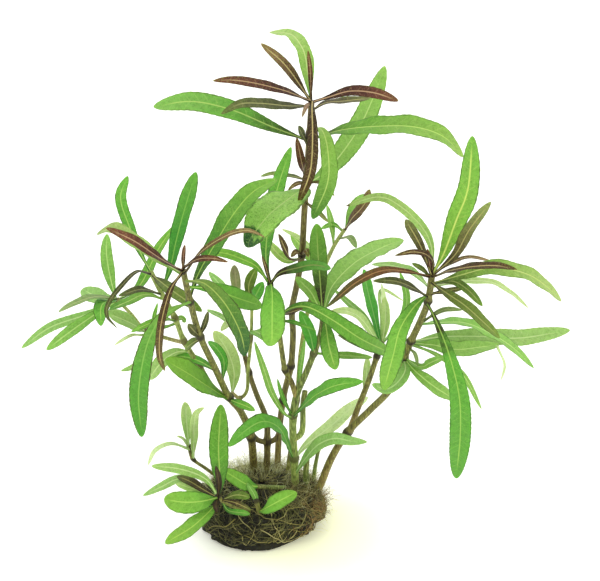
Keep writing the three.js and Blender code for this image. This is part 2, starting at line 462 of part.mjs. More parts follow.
// A closed solid through rings of points, which run anticlockwise about its length
function loft(rings) {
  const vertices = rings.flat();
  const starts = [];
  let count = 0;
  for (const ring of rings) {
    starts.push(count);
    count += ring.length;
  }
  const triangles = [];
  const cap = (start, size, forwards) => {
    for (let i = 2; i < size; i += 1) {
      const [a, b, c] = [start + 1, start + (i % size), start + ((i + 1) % size)];
      triangles.push(...(forwards ? [a, b, c] : [a, c, b]));
    }
  };
  cap(starts[0], rings[0].length, false);
  for (let r = 0; r + 1 < rings.length; r += 1) {
    const size = rings[r].length;
    for (let i = 0; i < size; i += 1) {
      const a = starts[r] + i;
      const b = starts[r] + ((i + 1) % size);
      if (rings[r + 1].length === 1) {
        triangles.push(a, b, starts[r + 1]);
      } else {
        const c = starts[r + 1] + ((i + 1) % size);
        const d = starts[r + 1] + i;
        triangles.push(a, b, c, a, c, d);
      }
    }
  }
  const last = rings.length - 1;
  if (rings[last].length > 1) cap(starts[last], rings[last].length, true);
  const mesh = new wasm.Mesh({
    numProp: 3,
    vertProperties: new Float32Array(vertices.flatMap((v) => [v.x, v.y, v.z])),
    triVerts: new Uint32Array(triangles),
  });
  return new wasm.Manifold(mesh);
}

// Stem: a tapered tube with a swollen ring at each of its nodes
function stemSolid(piece, extra = 0) {
  const points = piece.path.map(spot);
  if (!piece.parent) {
    const foot = points[0].clone();
    foot.x *= ROOTED_LEAN;
    foot.y *= ROOTED_LEAN;
    foot.z -= ROOTED_DEPTH;
    points.unshift(foot);
  }
  const added = piece.parent ? 0 : 1;
  const curve = curveThrough(points);
  const length = curve.getLength();
  const spans = points.length - 1;
  const nodeHalf = NODE_LENGTH / length;
  const nodePlaces = (piece.nodes ?? []).map((index) => (index + added) / spans);
  const places = new Set([0, 1]);
  for (let i = 1; i < spans; i += 1) places.add(i / spans);
  for (const place of nodePlaces) {
    for (const step of [-nodeHalf, 0, nodeHalf]) places.add(THREE.MathUtils.clamp(place + step, 0, 1));
  }
  const [footRadius, topRadius] = piece.radii;
  const rings = [];
  let side = new THREE.Vector3(1, 0, 0);
  for (const place of [...places].sort((a, b) => a - b)) {
    const tangent = curve.getTangent(place);
    side = side.clone().addScaledVector(tangent, -side.dot(tangent)).normalize();
    const across = new THREE.Vector3().crossVectors(tangent, side);
    const swollen = nodePlaces.some((node) => Math.abs(node - place) < SAME_PLACE) ? 1 + NODE_SWELL : 1;
    const radius = THREE.MathUtils.lerp(footRadius, topRadius, place) * swollen + extra;
    const middle = curve.getPoint(place);
    if (place === 0) middle.addScaledVector(tangent, -extra);
    if (place === 1) middle.addScaledVector(tangent, extra);
    rings.push(Array.from({ length: STEM_SIDES }, (_, i) => {
      const angle = (i / STEM_SIDES) * 2 * Math.PI;
      return middle.clone()
        .addScaledVector(side, radius * Math.cos(angle))
        .addScaledVector(across, radius * Math.sin(angle));
    }));
  }
  return loft(rings);
}

// Share of a blade's full width at a share of its length: a long taper, then a blunt tip
function swell(along, peak) {
  if (along <= peak) return Math.sin((Math.PI / 2) * (along / peak)) ** BASE_TAPER;
  return (1 - ((along - peak) / (1 - peak)) ** TIP_POWER) ** TIP_ROOT;
}

// Half a blade's full width, so that it is seen as wide as it was read off the photograph
function halfWidthOf(piece, curve, faceAt) {
  const tangent = curve.getTangentAt(HALF_WAY);
  const middle = curve.getPointAt(HALF_WAY);
  const side = new THREE.Vector3().crossVectors(faceAt(tangent), tangent);
  const view = cameraPlace.clone().sub(middle);
  const distance = view.dot(towardsCamera);
  view.normalize();
  const along = tangent.clone().addScaledVector(view, -view.dot(tangent)).normalize();
  const seen = Math.max(LEAST_FACING, Math.abs(side.dot(new THREE.Vector3().crossVectors(view, along))));
  return (((piece.width * MM_PER_PIXEL) / 2) * (distance / VIEW_DISTANCE)) / seen;
}

const segmentsOf = (small) => (small.path.length > SHORT_POINTS ? SMALL_SEGMENTS : SHORT_SEGMENTS);

// Leaf: a thin blade, widest at its peak, whose two halves fold up from the midrib. The
// smaller ones are flat above and have a keel below.
function leafSolid(piece, segments, extra = 0) {
  const ridged = segments > SMALL_SEGMENTS;
  const baseNear = piece.path[0][2];
  const deepened = piece.path.map(([across, down, near]) => (
    [across, down, baseNear + (near - baseNear) * LEAF_DEPTH_GAIN]));
  const curve = curveThrough(deepened.map(spot));
  const peak = piece.peak ?? PEAK_PLACE;
  const turn = THREE.MathUtils.degToRad(piece.turn ?? ROLL_SPREAD * Math.sin(ROLL_STEP * piece.width));
  const facing = towardsCamera.clone().add(new THREE.Vector3(0, 0, SKYWARD));
  const faceAt = (tangent) => {
    const normal = facing.clone().addScaledVector(tangent, -facing.dot(tangent)).normalize();
    return normal.applyAxisAngle(tangent, turn);
  };
  const fullHalf = halfWidthOf(piece, curve, faceAt);
  const rings = [];
  for (let i = 0; i < segments; i += 1) {
    const along = (i / segments) ** TIP_CROWDING;
    const tangent = curve.getTangentAt(along);
    const normal = faceAt(tangent);
    const side = new THREE.Vector3().crossVectors(normal, tangent);
    const petiole = (PETIOLE_WIDTH / 2) * (1 - PETIOLE_TAPER * along);
    const half = Math.max(petiole, fullHalf * swell(along, peak)) + extra * EDGE_CLEARANCE;
    const thick = THREE.MathUtils.lerp(BLADE_THICKNESS, TIP_THICKNESS, along) / 2 + extra;
    const rise = half * BLADE_FOLD;
    const middle = curve.getPointAt(along);
    if (i === 0) middle.addScaledVector(tangent, -extra);
    const edges = [half, -half].map((reach) => (
      middle.clone().addScaledVector(side, reach).addScaledVector(normal, rise)));
    const back = middle.clone().addScaledVector(normal, -thick);
    const ridge = middle.clone().addScaledVector(normal, thick);
    rings.push(ridged ? [edges[0], ridge, edges[1], back] : [edges[0], edges[1], back]);
  }
  rings.push([curve.getPoint(1).addScaledVector(curve.getTangent(1), extra * TIP_CLEARANCE)]);
  return loft(rings);
}

// Root plug: a low lumpy disc with a flat underside and its lower right side worn round
function plugSolid() {
  const rings = PLUG_LEVELS.map(([height, share]) => Array.from({ length: PLUG_SIDES }, (_, i) => {
    const angle = (i / PLUG_SIDES) * 2 * Math.PI;
    const lump = PLUG_WAVES.reduce((sum, [waves, twist, start, part]) => (
      sum + part * Math.sin(waves * angle + twist * height + start)), 0);
    const wornSide = Math.max(0, Math.cos(angle + WORN_TURN));
    const worn = WORN_DEPTH * wornSide * Math.max(0, 1 - height / WORN_HEIGHT);
    const radius = (PLUG_RADIUS + PLUG_LUMP * lump) * share - worn;
    const rise = height > 0 ? PLUG_RISE * Math.sin(PLUG_RISE_WAVES * angle + height) : 0;
    return new THREE.Vector3(radius * Math.cos(angle), radius * Math.sin(angle), height + rise);
  }));
  rings.push([new THREE.Vector3(0, 0, PLUG_HEIGHT + PLUG_TOP_RISE)]);
  return loft(rings);
}

const boxesMeet = (a, b) => {
  const [p, q] = [a.boundingBox(), b.boundingBox()];
  return [0, 1, 2].every((axis) => p.min[axis] <= q.max[axis] && q.min[axis] <= p.max[axis]);
};

// What is left of a piece clear of its neighbours, without loose crumbs
function largestPart(solid) {
  const parts = solid.decompose();
  return parts.reduce((best, part) => (part.volume() > best.volume() ? part : best));
}

function clearOf(solid, spaces) {
  let left = solid;
  for (const space of spaces) {
    if (boxesMeet(left, space)) left = left.subtract(space);
  }
  return largestPart(left);
}

// Stems with what grows out of them, each clear of the stems and leaves before it
const stemSpaces = new Map(stems.map((piece) => [piece.name, stemSolid(piece, GAP)]));
const spaces = [...stemSpaces.values()];
const solids = new Map();
const smallSpaces = [];

for (const piece of stems) {
  const others = stems.filter((other) => other.name !== piece.name);
  const parentSpace = piece.parent ? [stemSpaces.get(piece.parent)] : [];
  const earlier = smallSpaces.filter((entry) => entry.on !== piece.name).map((entry) => entry.space);
  let body = clearOf(stemSolid(piece), [...parentSpace, ...earlier]);
  for (const cutEnd of shoots.filter((one) => one.on === piece.name)) {
    const tube = { ...cutEnd, parent: piece.name };
    body = body.add(stemSolid(tube));
    smallSpaces.push({ on: piece.name, space: stemSolid(tube, GAP) });
  }
  for (const small of smallLeaves.filter((one) => one.on === piece.name)) {
    const away = [...others.map((other) => stemSpaces.get(other.name)), ...earlier];
    body = body.add(clearOf(leafSolid(small, segmentsOf(small)), away));
    smallSpaces.push({ on: piece.name, space: leafSolid(small, segmentsOf(small), GAP) });
  }
  solids.set(`stem_${piece.name}`, { solid: largestPart(body), tone: "olive" });
}
spaces.push(...smallSpaces.map((entry) => entry.space));

// The plug has a socket for each rooted stem, and its own cut ends stand on it
let plug = plugSolid();
const plugShoots = shoots.filter((one) => one.on === "root_plug");
for (const cutEnd of plugShoots) plug = plug.add(stemSolid(cutEnd));
solids.set("root_plug", { solid: clearOf(plug, spaces), tone: "brown" });

for (const cutEnd of plugShoots) spaces.push(stemSolid(cutEnd, GAP));

for (const piece of leaves) {
  const solid = clearOf(leafSolid(piece, BLADE_SEGMENTS), spaces);
  solids.set(`leaf_${piece.name}`, { solid, tone: piece.tone });
  spaces.push(leafSolid(piece, BLADE_SEGMENTS, GAP));
}

function meshOf(name, solid, colour) {
  const data = solid.getMesh();
  const geometry = new THREE.BufferGeometry();
  geometry.setAttribute("position", new THREE.BufferAttribute(new Float32Array(data.vertProperties), 3));
  geometry.setIndex(new THREE.BufferAttribute(new Uint32Array(data.triVerts), 1));
  geometry.computeVertexNormals();
  const material = new THREE.MeshStandardMaterial({ color: colour, roughness: 0.55, metalness: 0 });
  const mesh = new THREE.Mesh(geometry, material);
  mesh.name = name;
  return mesh;
}

const plant = new THREE.Group();
for (const [name, { solid, tone }] of solids) plant.add(meshOf(name, solid, tones[tone]));

export default plant;
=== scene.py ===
"""Hygrophila araguaia on its root plug: leaves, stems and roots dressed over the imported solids.

Lengths are millimetres, +Z up, and turn into metres where a mesh is made. The photographed
side faces -Y, so "near" is a distance towards -Y.
"""
import json
import math
import random

import bpy
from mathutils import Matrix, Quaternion, Vector, noise

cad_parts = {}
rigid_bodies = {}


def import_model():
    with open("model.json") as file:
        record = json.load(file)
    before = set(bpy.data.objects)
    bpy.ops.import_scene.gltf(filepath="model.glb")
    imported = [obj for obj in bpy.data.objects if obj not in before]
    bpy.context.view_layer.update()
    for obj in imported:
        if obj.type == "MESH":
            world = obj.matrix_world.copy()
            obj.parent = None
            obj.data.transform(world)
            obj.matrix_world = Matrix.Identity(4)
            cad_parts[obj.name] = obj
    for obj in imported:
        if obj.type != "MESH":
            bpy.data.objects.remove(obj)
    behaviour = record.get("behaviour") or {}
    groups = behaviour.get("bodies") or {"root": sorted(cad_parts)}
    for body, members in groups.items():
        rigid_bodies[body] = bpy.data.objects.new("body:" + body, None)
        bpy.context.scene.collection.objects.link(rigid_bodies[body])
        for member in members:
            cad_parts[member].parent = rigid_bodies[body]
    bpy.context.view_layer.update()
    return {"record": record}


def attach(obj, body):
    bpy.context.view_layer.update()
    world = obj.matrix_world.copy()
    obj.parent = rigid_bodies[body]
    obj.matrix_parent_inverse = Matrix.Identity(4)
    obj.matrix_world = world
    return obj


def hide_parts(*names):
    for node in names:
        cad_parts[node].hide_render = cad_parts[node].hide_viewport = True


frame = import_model()

MM = 0.001
SEED = 7
MARKS = ("along", "across", "rib", "vein", "under", "node", "seed")

# The photograph's view: places are read as pixels across and down, with a depth
PHOTO_CENTRE = Vector((14.2, 0, 95.4))
PHOTO_MIDDLE_ACROSS = 300
PHOTO_MIDDLE_DOWN = 290.5
MM_PER_PIXEL = 0.36
VIEW_DISTANCE = 900
VIEW_ELEVATION = math.radians(25)
FRAME_WIDTH = 216
SENSOR_WIDTH = 36

# How much farther than their nominal depths the blades and the crowns reach
LEAF_DEPTH_GAIN = 1.5
CROWN_DEPTH_GAIN = 0.25
CROWN_DEPTH_FROM = 480
CROWN_DEPTH_OVER = 200

# Blades face the eye and the sky and roll about their midribs, each by its own amount
SKYWARD = 0.6
LEAST_FACING = 0.6
ROLL_SPREAD = 24
ROLL_STEP = 2.4

# Blades: rings along, columns from the edge in to the midrib, outline, thickness and relief
RING_STEP = 0.75
SMALL_RING_STEP = 1.0
LEAST_RINGS = 10
TIP_STEPS = (0.5, 0.2, 0.05)
BLADE_COLUMNS = (1, 0.92, 0.76, 0.56, 0.36, 0.19, 0.07, 0)
SMALL_COLUMNS = (1, 0.78, 0.45, 0.14, 0)
PEAK_PLACE = 0.58
BASE_TAPER = 1.1
TIP_POWER = 2.3
TIP_ROOT = 0.58
PETIOLE_WIDTH = 1.1
PETIOLE_TAPER = 0.85
PETIOLE_THICKNESS = 1.0
PETIOLE_SHARE = 0.16
BLADE_THICKNESS = 0.5
TIP_THICKNESS = 0.22
EDGE_THINNING = 0.8
CALM_HALF = 3
BLADE_FOLD = 0.16
FOLD_POWER = 1.4
GROOVE_DEPTH = 0.14
KEEL_DEPTH = 0.32
KEEL_POWER = 0.7
RIB_SPREAD = 0.45
RIB_FULL_HALF = 2.0
EDGE_WAVE = 0.34
EDGE_WAVE_LENGTH = 13
WAVE_LENGTH_SPREAD = (0.8, 1.25)
TOOTH_DEPTH = 0.02
TOOTH_LENGTH = 2.6
TOOTH_FROM = 0.85
SWAY_DEGREES = 5
SWAY_WAVES = 5
VEIN_SPACING = 3.4
VEIN_SLOPE = 0.9
VEIN_START = 10

# Tubes and stems: the slope of a start that needs another seam, ridges, swollen nodes and the foot
SIDEWAYS = 0.9
STEM_SIDES = 12
STEM_STEPS = 14
STEM_RIDGE = 0.05
RIDGES = 4
NODE_SWELL = 0.42
NODE_LENGTH = 1.5
ROOTED_DEPTH = 7
ROOTED_LEAN = 0.82

# The plug: its grid, its outline as height and share of the radius, its worn edge and its foot
PLUG_COLUMNS = 300
PLUG_RINGS = 110
PLUG_RADIUS = 22
PLUG_HEIGHT = 14
PLUG_LUMP = 0.5
PLUG_RISE = 0.54
PLUG_RISE_WAVES = 5
PLUG_LEVELS = [(0, 0.9), (1.6, 0.97), (5.5, 1), (10, 1.01), (13, 0.9), (14.4, 0.55), (15, 0)]
WORN_DEPTH = 3.2
WORN_HEIGHT = 5
WORN_TURN = 0.5
FOOT_SPREAD = 3.2
FOOT_TURN = 0.25
FOOT_HEIGHT = 6.5
SPREAD_SHARE = 0.5
RISE_SHARE = 0.3
RISE_HEIGHT = 1

# Lumps around the plug: waves in a turn, their twist with each millimetre up, start and share
PLUG_WAVES = ((3, 0.4, 0, 1), (8, -0.9, 1, 0.7))

# Crumbs, lumps and ropes of fibre on the plug
CRUMB_SCALE = 0.75
CRUMB_DEPTH = 0.75
CRUMB_NOISE = (0.7, 2.1, 4)
LUMP_SCALE = 0.26
LUMP_DEPTH = 1.0
ROPE_TURNS = 5.0
ROPE_SCALE = 0.75
ROPE_DEPTH = 1.5
ROPE_END = (4, 9)
STEEP_END = (0.75, 1.0)
TOP_LEAN = 1.05
ROUGH_HEIGHT = 1.2
LEAST_LIFT = 0.5

# Roots: lengths, bows off the plug's skin and radii as low and high, and tones by the place up it
ROOT_STEP = 1.5
ROOT_TAPER = 0.55
ROOT_LOWEST = 0.2
ROOT_HIGHEST = 0.99
LEAST_WALK_RADIUS = 4.0
LEAST_WALK_STEPS = 3
ROOT_SIDES = 5
FOOT_ROOT_STEPS = 4
LIFT_JITTER = (0, 0.25)
BOW_START = 0.35
ROOT_COUNT = 200
ROOT_PLACES = (2.2, 1.6)
ROOT_SCATTER = 0.7
ROOT_WANDER = 0.3
ROOT_LENGTH = (12, 34)
ROOT_BOW = (0.1, 0.9)
ROOT_RADIUS = (0.13, 0.32)
ROOT_TONE_LOW = 0.18
ROOT_TONE_RISE = 0.5
ROOT_TONE_SPREAD = 0.2
FOOT_ROOT_COUNT = 16
FOOT_ROOT_INSET = 0.8
FOOT_ROOT_RIM = 0.95
FOOT_ROOT_REACH = (2.5, 9)
FOOT_ROOT_START = (-0.5, 2.5)
FOOT_ROOT_MIDDLE = 0.45
FOOT_ROOT_BOW = (0.2, 1.8)
FOOT_ROOT_RADIUS = (0.12, 0.28)
FOOT_ROOT_TONE = (0.35, 0.95)
FOOT_ROOT_DEPTH = 2.2
FOOT_ROOT_SINK = 3.5
FOOT_ROOT_SINK_FROM = 12
FOOT_ROOT_JITTER = (-0.4, 0.6)

# Straw and rust coloured roots: tone, count, sides, angle and its spread, headings, their spread
# and wander, then places up the plug, lengths, bows and radii
ARCHING_ROOTS = [
    ("straw", 16, 5, (-1.3, 0.8), (-0.5, math.pi + 0.5), 0.5, 0.24,
        (0.35, 0.8), (14, 30), (0.6, 1.8), (0.12, 0.24)),
    ("rust", 90, 4, (-0.3, 0.3), (-math.pi / 2,), 0.8, 0.6,
        (0.45, 0.85), (5, 13), (0.2, 1.5), (0.07, 0.16)),
]

# Root hairs: how they lean, bend at their middle and droop, and their sizes as low and high
HAIR_COUNT = 3000
HAIR_SIDES = 3
HAIR_STEPS = 3
HAIR_INSET = 0.2
HAIR_LEAN = (0.1, 1.0)
HAIR_RISE = 0.25
HAIR_RISE_UP = 0.9
HAIR_MIDDLE = 0.55
HAIR_KEEP = 0.6
HAIR_DROOP = (-0.7, 0.3)
HAIR_END = 0.5
HAIR_LOWEST = 0.3
HAIR_ROOT_TONE = 0.4
HAIR_LENGTH = (2.5, 8.5)
HAIR_RADIUS = (0.03, 0.06)
HAIR_SPREAD = 0.5

# Hairs: up to which share of them, round which angle and how widely, how high, and which tones
HAIR_KINDS = [
    (0.38, 1.65, 0.75, (0.8, 0.97), ["hair"]),
    (0.52, -0.1, 0.45, (0.3, 0.85), ["straw", "rust", "rust"]),
    (0.62, 0, None, (0.86, 0.99), ["hair", "straw", "straw"]),
    (0.68, -0.75, 0.35, (0.86, 0.96), ["straw"]),
    (1.0, 0, None, (0.2, 0.95), ["root"]),
]

# Studio: lights as name, place, size, power and colour, a soft painted glow of pale yellow on the floor
# round the plug, and the floor's own faint glow, painted light that lightens the shade there
FLOOR_RADIUS = 12.0
FLOOR_SIDES = 96
WORLD_COLOUR = (1.0, 1.0, 0.99, 1.0)
WORLD_STRENGTH = 1.1
LIGHTS = [
    ("key", (-0.55, -0.75, 1.15), 0.9, 4.0, (1.0, 0.985, 0.95)),
    ("fill", (0.95, -0.5, 0.7), 0.9, 2.5, (0.95, 0.98, 1.0)),
    ("rim", (0.2, 1.0, 0.9), 0.8, 2.0, (1.0, 1.0, 0.97)),
]
# Painted glow round the plug: where it centres, how far it reaches and how strong it is
GLOW_PLACE = (0.02, -0.012, 0.0)
GLOW_REACH = (0.012, 0.05)
GLOW_SHARE = 0.8
# The floor glows faintly though it is no lamp: painted light that lightens the shade round the plug
FLOOR_PAINTED_GLOW = 0.25
FLOOR_CLOUDS = 30.0
FLOOR_TONES = ("#f6f5f0", "#f9f9f6")
# The painted glow's pale yellow
PAINTED_GLOW_TONE = "#f6f6cc"
FLOOR_ROUGHNESS = 0.9
FLOOR_SURFACE = (0.0, 0.0, 0.2)
CLIP_START = 0.01
CLIP_END = 50

# Scales of the noises, and bands of noise and place over which the leaves' marks fade in or out
BROAD_SCALE = 260.0
CLOUD_SCALE = 700.0
GRAIN_SCALE = 2100.0
STREAK_SCALE = 2000.0
PLACE_SHIFT = 0.3
END_FADE = 0.06
MOTTLE_BAND = (0.42, 0.68)
SPECK_BAND = (0.54, 0.74)
DOT_BAND = (0.28, 0.46)
LIGHT_SPECK = 0.6
VEIN_LINE = (0.01, 0.1)
VEIN_FADE = (0.55, 0.95)
VEIN_PATCH = (0.35, 0.6)
EDGE_WANDER = 0.16
EDGE_BAND = (0.83, 0.94)
EDGE_PATCH = (0.38, 0.6, 0.5, 1.0)
RIB_CORE = 0.1
RIB_FADE = (0.8, 0.97)
GRAIN_BAND = (0.3, 0.7)
CLOUD_DETAIL = 3.0
VEIN_RELIEF = -0.7
GRAIN_RELIEF = 0.5
CLOUD_RELIEF = 0.5

# How leaves vary and shine; a surface is its relief, its softness and its gloss
SEED_TURN = 7.31
LEAF_TINT = (0.84, 0.86, 0.76)
UNDER_PALENESS = 0.4
LEAF_HUE_SPREAD = 0.008
LEAF_VALUE_SPREAD = 0.06
LEAF_ROUGHNESS = (0.5, 0.66)
LEAF_SURFACE = (0.3, 0.25, 0.2)
BUMP_DISTANCE = 0.0002
SOFT_RADIUS = (0.6, 1.0, 0.3)
SOFT_SCALE = 0.0008

# Stems: pale and dark streaks along them, rings at the nodes, and how they vary and shine
STEM_CLOUD_SCALE = 420.0
STEM_SHIFT = 0.2
STREAK_SQUEEZE = (1.0, 1.0, 0.16)
PALE_STREAK = (0.5, 0.66, 0.0, 0.75)
DARK_STREAK = (0.34, 0.46, 0.7, 0.0)
RING_BAND = (0.25, 0.85)
STEM_HUE_SPREAD = 0.006
STEM_VALUE_SPREAD = 0.08
STEM_ROUGHNESS = (0.5, 0.65)
STEM_SURFACE = (0.4, 0.08, 0.3)
STREAK_RELIEF = 0.7
STEM_CLOUD_RELIEF = 0.4

# The plug's crumbs, fibre and patches, and the roots' streaks
CRUMB_CELLS = 620.0
FIBRE_SCALE = 900.0
PATCH_SCALE = 150.0
PATCH_BAND = (0.5, 0.7, 0.0, 0.5)
CRUMB_BAND = (0.0, 0.5, 0.75, 0.0)
PLUG_TONES = [(0.3, "#0c0c09"), (0.5, "#1a1a12"), (0.72, "#34301c")]
PATCH_TONE = "#2c2c1a"
CRUMB_TONE = "#0d0c08"
PLUG_ROUGHNESS = (0.6, 0.9)
FIBRE_DETAIL = 5.0
CRUMB_RELIEF = 1.4
PLUG_SURFACE = (1.0, 0.0, 0.3)
ROOT_STREAK_SCALE = 2200.0
ROOT_CLOUD_SCALE = 240.0
ROOT_SHIFT = 0.5
ROOT_STREAK = (0.45, 0.7)
ROOT_SHADE = "#6a5a34"
ROOT_STREAK_END = 0.6
ROOT_ROUGHNESS = 0.55
ROOT_SURFACE = (0.5, 0.1, 0.4)

# What most leaf looks share, and what the dark ones do
BASIC_LOOK = {
    "margin": "#2c3a1c", "edge": 0.9, "mottle": 0.25, "rib_share": 0.85, "rib_width": 0.3, "base_to": 0.05,
    "middle_at": 0.45, "shade": "#9cb080", "speck": 0.4, "veins": 0.24, "below": "#9cbc7c", "end": None,
    "end_from": 1.0,
}
DARK_LEAF = {"shade": "#74605a", "speck": 0.45, "veins": 0.2, "below": "#84704c"}


def look(base, middle, tip, rib, **more):
    return {**BASIC_LOOK, "base": base, "middle": middle, "tip": tip, "rib": rib, **more}


def stem(name, look, radii, nodes, *path, parent=None):
    return {"name": name, "look": look, "radii": radii, "nodes": nodes, "path": path, "parent": parent}


def leaf(name, width, look, *path, peak=PEAK_PLACE, turn=None):
    return {"name": name, "width": width, "look": look, "path": path, "peak": peak, "turn": turn}


def shoot(on, radii, *path):
    return {"on": on, "radii": radii, "nodes": (), "path": path, "parent": None if on == "root_plug" else on}


# Leaf looks: base, middle and tip colours, the midrib's, and what differs from the basic look
LOOKS = {
    "green": look("#44762c", "#66a83c", "#7ab448", "#b0d26c"),
    "bright": look("#58982e", "#7ab644", "#8abc4a", "#b2d866", edge=0.65),
    "light": look("#72a644", "#86b854", "#92be62", "#bedc88", edge=0.6),
    "pale": look("#86b25a", "#94bc66", "#a0c476", "#c8e09e", edge=0.15),
    "faint": look("#9ebe6c", "#b6d086", "#ccdc9e", "#d6e4b0", edge=0.1, mottle=0.2),
    "lime": look("#7eac4a", "#9ec462", "#b8d286", "#cee096", edge=0.2),
    "deep": look("#3e7a2c", "#58a63a", "#68ac42", "#96c464"),
    "teal": look("#3a822e", "#54a63a", "#68ac42", "#8cc068", edge=0.25),
    "strap": look("#488a2e", "#4e9834", "#76ae42", "#8ebe54"),
    "hanging": look("#86b258", "#589e36", "#4e9634", "#8cbe5a", edge=0.95, margin="#463a22"),
    "arching": look("#82a050", "#588a34", "#185428", "#b0c868", edge=0.9, margin="#3e321e"),
    "dotted": look("#30361a", "#4e8a2e", "#86b84a", "#acce62", speck=0.5, base_to=0.04,
        middle_at=0.36, edge=0.5),
    "fading": look("#98be5a", "#86b24e", "#4e8230", "#bad478", edge=0.5),
    "light_end": look("#4a642a", "#6ca038", "#96b658", "#bed876", middle_at=0.36, edge=0.5),
    "wan_end": look("#546a32", "#84ac4a", "#b8cc80", "#ccdc84", middle_at=0.36, edge=0.4),
    "wan": look("#7ea04c", "#a2ba6c", "#9eb068", "#cede9c", edge=0.25),
    "wan_tipped": look("#88ac52", "#aeca76", "#acbe74", "#cede9c", edge=0.25, end="#5c4024", end_from=0.93),
    # A lighter copy of the faint look: partly these leaves' own pale colour, partly painted light that
    # offsets the shade they sit in
    "milky": look("#c4de96", "#d8eab0", "#e4f0c2", "#e6f0c8", edge=0.1, mottle=0.2),
    "sage": look("#68784c", "#849a62", "#94a870", "#b0bc80", edge=0.5, below="#889c68"),
    "olive_lit": look("#404824", "#70aa44", "#92be62", "#bad474", edge=0.6, base_to=0.08, margin="#4a4226"),
    "speckled": look("#84c050", "#9cce64", "#9ed068", "#bed886", edge=0.7, mottle=0.3, speck=1.0,
        end="#2c602a", end_from=0.84),
    "lined": look("#6aa02e", "#82b848", "#78b048", "#ccde74", edge=0.7, rib_width=0.42, rib_share=0.95),
    "stalked": look("#383218", "#6aac3a", "#66a438", "#b0d462", base_to=0.13, middle_at=0.26,
        edge=0.5, rib_share=0.75),
    "half_dark": look("#36341c", "#588832", "#78b448", "#a0be64", base_to=0.22, middle_at=0.5,
        edge=0.6, margin="#2c2c1a"),
    "brown_half": look("#342a1a", "#588e36", "#6aa842", "#8c9654", base_to=0.26, middle_at=0.52,
        edge=0.7, margin="#30281a"),
    "olive": look("#403a1e", "#627830", "#76903a", "#aab068", edge=0.7, margin="#322818", below="#727a46"),
    "dusk": look("#2a2618", "#4a4c2c", "#666a3e", "#9e9c68", edge=0.6, margin="#221e14",
        mottle=0.5, below="#60643e"),
    "bronze": look("#2c2014", "#604a2c", "#967852", "#ccba84", edge=0.6, margin="#261c12", **DARK_LEAF),
    "bronze_olive": look("#322416", "#524a2a", "#767a46", "#bab270", edge=0.6, margin="#2e2418",
        base_to=0.12, **DARK_LEAF),
    "bronze_green": look("#362818", "#686236", "#9aa664", "#bab270", edge=0.6, margin="#2e2418",
        base_to=0.12, **DARK_LEAF),
    "brown": look("#241a10", "#402c1a", "#5a3e24", "#ceb880", edge=0.6, margin="#1e1610", **DARK_LEAF),
    "umber": look("#1e1810", "#2e2216", "#3e301e", "#685234", edge=0.4, margin="#18120c",
        mottle=0.5, **DARK_LEAF),
    "brown_green": look("#2c2014", "#4a3e22", "#687032", "#b0a460", edge=0.6, margin="#241c12",
        base_to=0.2, middle_at=0.55, **DARK_LEAF),
    "rust_brown": look("#302016", "#523a22", "#6c582e", "#ccb276", edge=0.6, margin="#281a12", **DARK_LEAF),
    "red": look("#2a1c14", "#4c2a20", "#784632", "#ceac86", edge=0.6, rib_share=0.75,
        margin="#241612", **DARK_LEAF),
    "red_green": look("#3c2a1a", "#744a2a", "#4e542a", "#b48858", edge=0.6, margin="#281c12",
        middle_at=0.36, base_to=0.08, **DARK_LEAF),
    "pink": look("#785a4a", "#987662", "#a4826e", "#bca088", edge=0.4, margin="#60423a", **DARK_LEAF),
    "greyed": look("#a4b86a", "#a0a66e", "#8a7e68", "#a8a07c", edge=0.4, margin="#54483a"),
}

# Stem looks: colours by share of the length, then streaks and nodes
STEM_LOOKS = {
    "stem_olive": {
        "stops": [(0.05, "#b09a64"), (0.17, "#7a6c3a"), (0.5, "#74743a"), (1.0, "#74703c")],
        "streak": "#a8a65c", "node": "#2e2618", "ring": 0.9,
    },
    "stem_brown": {
        "stops": [(0.05, "#b09a64"), (0.17, "#6a5e36"), (0.5, "#686234"), (1.0, "#705a36")],
        "streak": "#948c50", "node": "#281e14", "ring": 0.9,
    },
    "stem_green": {
        "stops": [(0.04, "#a8a466"), (0.18, "#90a854"), (0.6, "#6e8040"), (1.0, "#6c6c38")],
        "streak": "#bcc878", "node": "#4a4426", "ring": 0.75,
    },
    "stem_back": {
        "stops": [(0.04, "#a89a6a"), (0.18, "#848244"), (0.6, "#8ea052"), (1.0, "#98a65e")],
        "streak": "#bcc07c", "node": "#564c2c", "ring": 0.75,
    },
}

# Root tones by the seed that each root draws
ROOT_TONES = {
    "root": [(0.1, "#14150b"), (0.4, "#333418"), (0.7, "#686634"), (1.0, "#a29c60")],
    "straw": [(0.1, "#807838"), (0.6, "#a09656"), (1.0, "#c4bc80")],
    # Hair tones near white: partly the hairs' own pale colour, partly painted light that offsets the shade
    # on their thin strands
    "hair": [(0.1, "#cfcf8c"), (0.6, "#e6e8a8"), (1.0, "#f6f6cc")],
    "rust": [(0.1, "#5c4020"), (0.6, "#93703c"), (1.0, "#b99a5c")],
}

ROOT_GRAIN = {"root": 0.6, "straw": 0.35, "hair": 0.0, "rust": 0.4}

